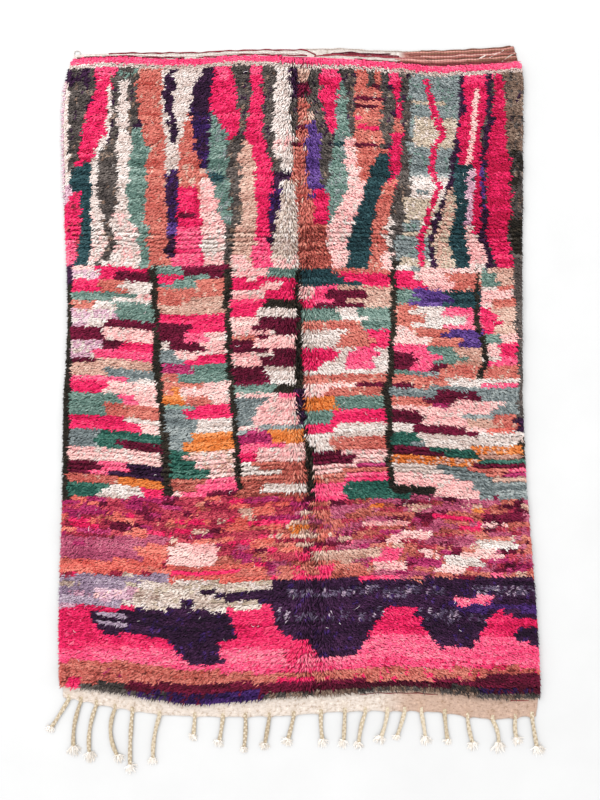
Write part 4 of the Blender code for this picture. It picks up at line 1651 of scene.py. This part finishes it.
# The red yarn follows the edge, and dives to the pile where the maroon ones begin.
red_way = far_band((-0.7, 0.93), (0.0, 0.93), (0.025, 0.75), (0.055, 0.3))
crossings["edge_red"].append(crossing(red_way, -0.665, 0.055, 0.0021, seed=0.3))
crossings["edge_red"].append(crossing(near_band(0.12), 0.20, 0.46, 0.0014, seed=2.0))
crossings["edge_red"].append(crossing(near_band(0.12), 0.70, 0.765, 0.0014, seed=2.6))
for k, up in enumerate((-0.13, 0.0, 0.13)):
    maroon_way = far_band((0.045, 0.1), (0.10, 0.4 + 0.6 * up), (0.174, 0.5 + up), (0.4, 0.62 + up))
    maroon = crossing(maroon_way, 0.05 + 0.03 * k, 0.38 - 0.03 * k, 0.0024, seed=1.6 + k)
    crossings["pile_maroon"].append(maroon)
# Three pale yarns slant across the browns near the right corner.
SLANTS = ((0.615, 0.655, 0.30, 0.62), (0.655, 0.71, 0.35, 0.80), (0.702, 0.752, 0.12, 0.60))
for start, stop, low, high in SLANTS:
    slant = far_band((start, low), (stop, high))
    crossings["edge_pale"].append(crossing(slant, start, stop, 0.0023, wave=0.0003, seed=10.0 * start))

# %% The curl at the left corner
# The end of one weft curls off the corner.
CURL_STEPS = 22
way_round = np.radians(np.linspace(-130.0, 230.0, CURL_STEPS))
curl_x, curl_y = -0.776 + 0.011 * np.cos(way_round), 1.209 + 0.009 * np.sin(way_round)
curl = np.stack([curl_x, curl_y, np.full(CURL_STEPS, 0.0022)], axis=1)[None]
rise = np.linspace(0.1, 0.2, CURL_STEPS)[None]
crossings["edge_pale"].append(yarns(curl, np.full((1, CURL_STEPS), 0.0013), 5, np.array([20.0]), rise))
lines_laid = []
for name, parts in crossings.items():
    made = piece(name, *gather(parts))
    made.data.materials.append(wool("wool_" + name, CROSSING_SHADES[name], twist=160.0, root=0.7))
    lines_laid.append(made)
print("Crossing yarns:", [made.name for made in lines_laid])

# %% [markdown]
# ## The plaited fringe
#
# Each cord is a plait of three strands. Seen along its length, a strand of a plait draws a figure
# of eight: it swings from side to side once while it goes over and under twice. The other two
# do the same, a third of the way behind. Past the last crossing the warps are loose and fray.

# %% Plait the cords
PERIOD = 0.0195  # one strand's whole swing
SWING = 0.0036
OVER = 0.0015
STRAND = 0.0034  # a strand's radius
MIDDLE_HEIGHT = 0.0052
INSIDE = 0.016  # how far a cord starts inside the cloth
TWIST_REACH = 0.20  # this length of strand fills the whole height of the map
PLAIT_STEP = 0.0021
WARP = ((172, 154, 128), (196, 180, 154), (216, 202, 180))


def cord_line(cord, steps):
    """The middle of a cord from inside the cloth to its tuft, and the distance along it."""
    distance = np.linspace(-INSIDE, cord.length, steps)
    s = np.maximum(distance / cord.length, 0.0)
    bow = cord.middle - 0.5 * cord.end
    x = cord.root + cord.end * s + 4.0 * bow * s * (1.0 - s)
    y = float(end("cord_roots", cord.root)) - distance
    z = MIDDLE_HEIGHT - 0.0008 * smooth(-distance / INSIDE)
    return np.stack([x, y, z], axis=1), distance + INSIDE


strands = []
for cord in CORDS:
    middle, distance = cord_line(cord, int((cord.length + INSIDE) / PLAIT_STEP) + 2)
    along = np.gradient(middle, axis=0)
    along /= np.linalg.norm(along, axis=1, keepdims=True)
    beside = np.stack([-along[:, 1], along[:, 0], 0.0 * along[:, 0]], axis=1)
    start = draw.uniform(0.0, 2.0 * np.pi)
    swing = 2.0 * np.pi * distance / (PERIOD * draw.uniform(0.92, 1.1))
    slack = 1.0 + 0.10 * np.sin(distance / 0.013 + start)
    thin_end = 1.0 - 0.25 * smooth((distance - distance[-1] + 0.010) / 0.010)
    paths = []
    for k in range(3):
        phase = swing + start + 2.0 * np.pi * k / 3.0
        offset = SWING * slack * np.sin(phase)
        lift = OVER * np.sin(2.0 * phase)
        paths.append(middle + beside * offset[:, None] + np.array([0.0, 0.0, 1.0]) * lift[:, None])
    radii = np.tile(STRAND * slack * thin_end, (3, 1))
    strips = draw.integers(0, SHADES, 3)
    rises = np.clip(0.01 + np.tile(distance, (3, 1)) / TWIST_REACH, 0.006, 0.99)
    strands.append(yarns(np.array(paths), radii, 6, strips, rises))
plaits = piece("plaits", *gather(strands))
plaits.data.materials.append(wool("warp_plaited", WARP, twist=36.0, root=0.90))
print(len(CORDS), "plaits,", len(plaits.data.polygons), "triangles")

# %% Fray their ends
FRAYED = 46  # hairs for each cord
HAIR_STEPS = 8
HAIR_SIDES = 3
FRAY = ((218, 208, 196), (236, 228, 219), (250, 246, 241))
t = np.linspace(0.0, 1.0, HAIR_STEPS)[None]
frays = []


def each_hair(low, high):
    return draw.uniform(low, high, (FRAYED, 1))


for cord in CORDS:
    middle, _ = cord_line(cord, 40)
    tip = middle[-1]
    heading = (middle[-1] - middle[-4])[:2]
    drawn = np.array([cord.tuft_drift, -cord.tuft_length])
    heading = 0.5 * (heading / np.linalg.norm(heading)) + 0.5 * drawn / np.linalg.norm(drawn)
    spread = draw.normal(0.0, 0.62, FRAYED)
    angle = np.arctan2(heading[0], -heading[1]) + spread
    reach = cord.tuft_length * draw.uniform(0.55, 1.10, FRAYED) * np.cos(0.6 * spread)
    curl = each_hair(-0.0036, 0.0036) * np.sin(np.pi * each_hair(0.8, 2.2) * t)
    out, over = np.sin(angle)[:, None], -np.cos(angle)[:, None]
    first_side = np.clip(spread[:, None], -0.6, 0.6) * 0.006 + each_hair(-0.002, 0.002)
    x = tip[0] + first_side + out * reach[:, None] * t + curl * -over
    y = tip[1] + 0.006 + over * (reach[:, None] + 0.004) * t + curl * out
    high, low = each_hair(0.0012, 0.0110), each_hair(0.0010, 0.0050)
    z = high + (low - high) * smooth(t * 1.2) + 0.0010 * np.sin(5.0 * t + 9.0 * spread[:, None])
    paths = np.stack([x, y, np.maximum(z, 0.0012)], axis=2)
    radii = each_hair(0.0008, 0.0014) * (1.0 - 0.45 * t**2)
    rises = np.repeat(0.02 + 0.95 * t, FRAYED, axis=0)
    frays.append(yarns(paths, radii, HAIR_SIDES, draw.integers(0, SHADES, FRAYED), rises))
frayed = piece("frayed_ends", *gather(frays))
frayed.data.materials.append(wool("warp_frayed", FRAY, root=0.95, gain=0.9))
print("Frayed ends:", len(frayed.data.polygons), "triangles")

# %% [markdown]
# ## Loose ends on the pile
#
# An old rug sheds: pale fibres, and longer ends of yarn that the shears missed, lie on the pile.

# %% Scatter them
LOOSE = 130
LOOSE_STEPS = 11
LOOSE_WOOL = ((200, 184, 186), (238, 228, 226), (250, 246, 244))
x = draw.uniform(-0.77, 0.73, LOOSE)
y = draw.uniform(-0.93, 1.15, LOOSE)
on_the_dark_shapes = draw.random(LOOSE) < 0.2
y = np.where(on_the_dark_shapes, draw.uniform(-0.93, -0.60, LOOSE), y)
t = np.linspace(0.0, 1.0, LOOSE_STEPS)[None]
heading = draw.uniform(0.0, 2.0 * np.pi, (LOOSE, 1)) + draw.normal(0.0, 1.3, (LOOSE, 1)) * t
heading = heading + 0.6 * np.sin(draw.uniform(2.0, 9.0, (LOOSE, 1)) * t)
reach = draw.uniform(0.008, 0.022, (LOOSE, 1)) / LOOSE_STEPS
path_x = x[:, None] + np.cumsum(reach * np.cos(heading), axis=1)
path_y = y[:, None] + np.cumsum(reach * np.sin(heading), axis=1)
path_z = pile_height(path_x, path_y) + 0.0004 + 0.0008 * np.sin(np.pi * t)
paths = np.stack([path_x, path_y, path_z], axis=2)
radii = draw.uniform(0.0004, 0.0008, (LOOSE, 1)) * (1.0 - 0.5 * (2.0 * t - 1.0) ** 4)
rises = np.repeat(0.02 + 0.95 * t, LOOSE, axis=0)
strips = draw.integers(0, SHADES, LOOSE)
loose = piece("loose_fibres", *yarns(paths, radii, HAIR_SIDES, strips, rises))
loose.data.materials.append(wool("wool_loose", LOOSE_WOOL, root=0.9))
print("Loose fibres:", len(loose.data.polygons), "triangles")

# %% [markdown]
# ## Put it all in the frame
#
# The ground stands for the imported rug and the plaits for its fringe. Nothing on a rug moves by
# itself, so every piece rides on the one body.

# %% Tell the frame
for made in (ground, *pile, *lines_laid, loose):
    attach(made, "root")
for made in (plaits, frayed):
    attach(made, "root")
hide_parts("rug")
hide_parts("fringe")
pieces = (ground, *pile, *lines_laid, loose, plaits, frayed)
print("Triangles in all:", sum(len(face.vertices) - 2 for made in pieces for face in made.data.polygons))

# %% [markdown]
# ## Floor, light and camera
#
# The rug lies on a white floor under soft light from all round, with a little more from the upper
# left. The camera hangs straight above it, tipped by three degrees.

# %% Floor
bpy.ops.object.select_all(action="DESELECT")
bpy.ops.mesh.primitive_plane_add(size=24.0, location=(0.0, 0.0, -0.0003))
floor = bpy.context.active_object
floor.name = "floor"
paper = Recipe("floor_paper", sheen=0.0)
mottle = paper.noise(paper.add("TexCoord", {}, "Object"), scale=3.0, detail=4.0)
tint = paper.ramp(mottle, (0.3, 0.385), (0.7, 0.405))
floor.data.materials.append(paper.finish(tint, paper.between(mottle, 0.85, 0.95), mottle, 0.02, 0.001))
floor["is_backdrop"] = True

# %% Light
world = bpy.data.worlds.new("studio")
bpy.context.scene.world = world
world.use_nodes = True
backdrop = world.node_tree.nodes["Background"]
backdrop.inputs["Color"].default_value = grey(1.0)
backdrop.inputs["Strength"].default_value = 2.2
bpy.ops.object.light_add(type="AREA", location=(-2.2, 2.6, 3.4))
key = bpy.context.active_object
key.name = "soft_key"
key.data.size = 2.6
key.data.energy = 135.0
key.rotation_euler = (-key.location).to_track_quat("-Z", "Y").to_euler()
bpy.context.scene.view_settings.view_transform = "Standard"

# %% Camera
CAMERA_BACK = 0.131  # how far it stands back from the middle of the cloth, towards the fringe
CAMERA_HEIGHT = 2.497
bpy.ops.object.camera_add(location=(STEP[0], STEP[1] - CAMERA_BACK, CAMERA_HEIGHT))
camera = bpy.context.active_object
camera.name = "camera"
camera.data.lens = 33.09
camera.data.sensor_width = 36.0
aim = camera.location.copy()
aim.x, aim.y, aim.z = STEP[0] - aim.x, STEP[1] - aim.y, -aim.z
camera.rotation_euler = aim.to_track_quat("-Z", "Y").to_euler()
bpy.context.scene.camera = camera

# %% Measure what is shown
low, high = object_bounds()
print("Visual box", [round(1000 * v) for v in (*low, *high)])
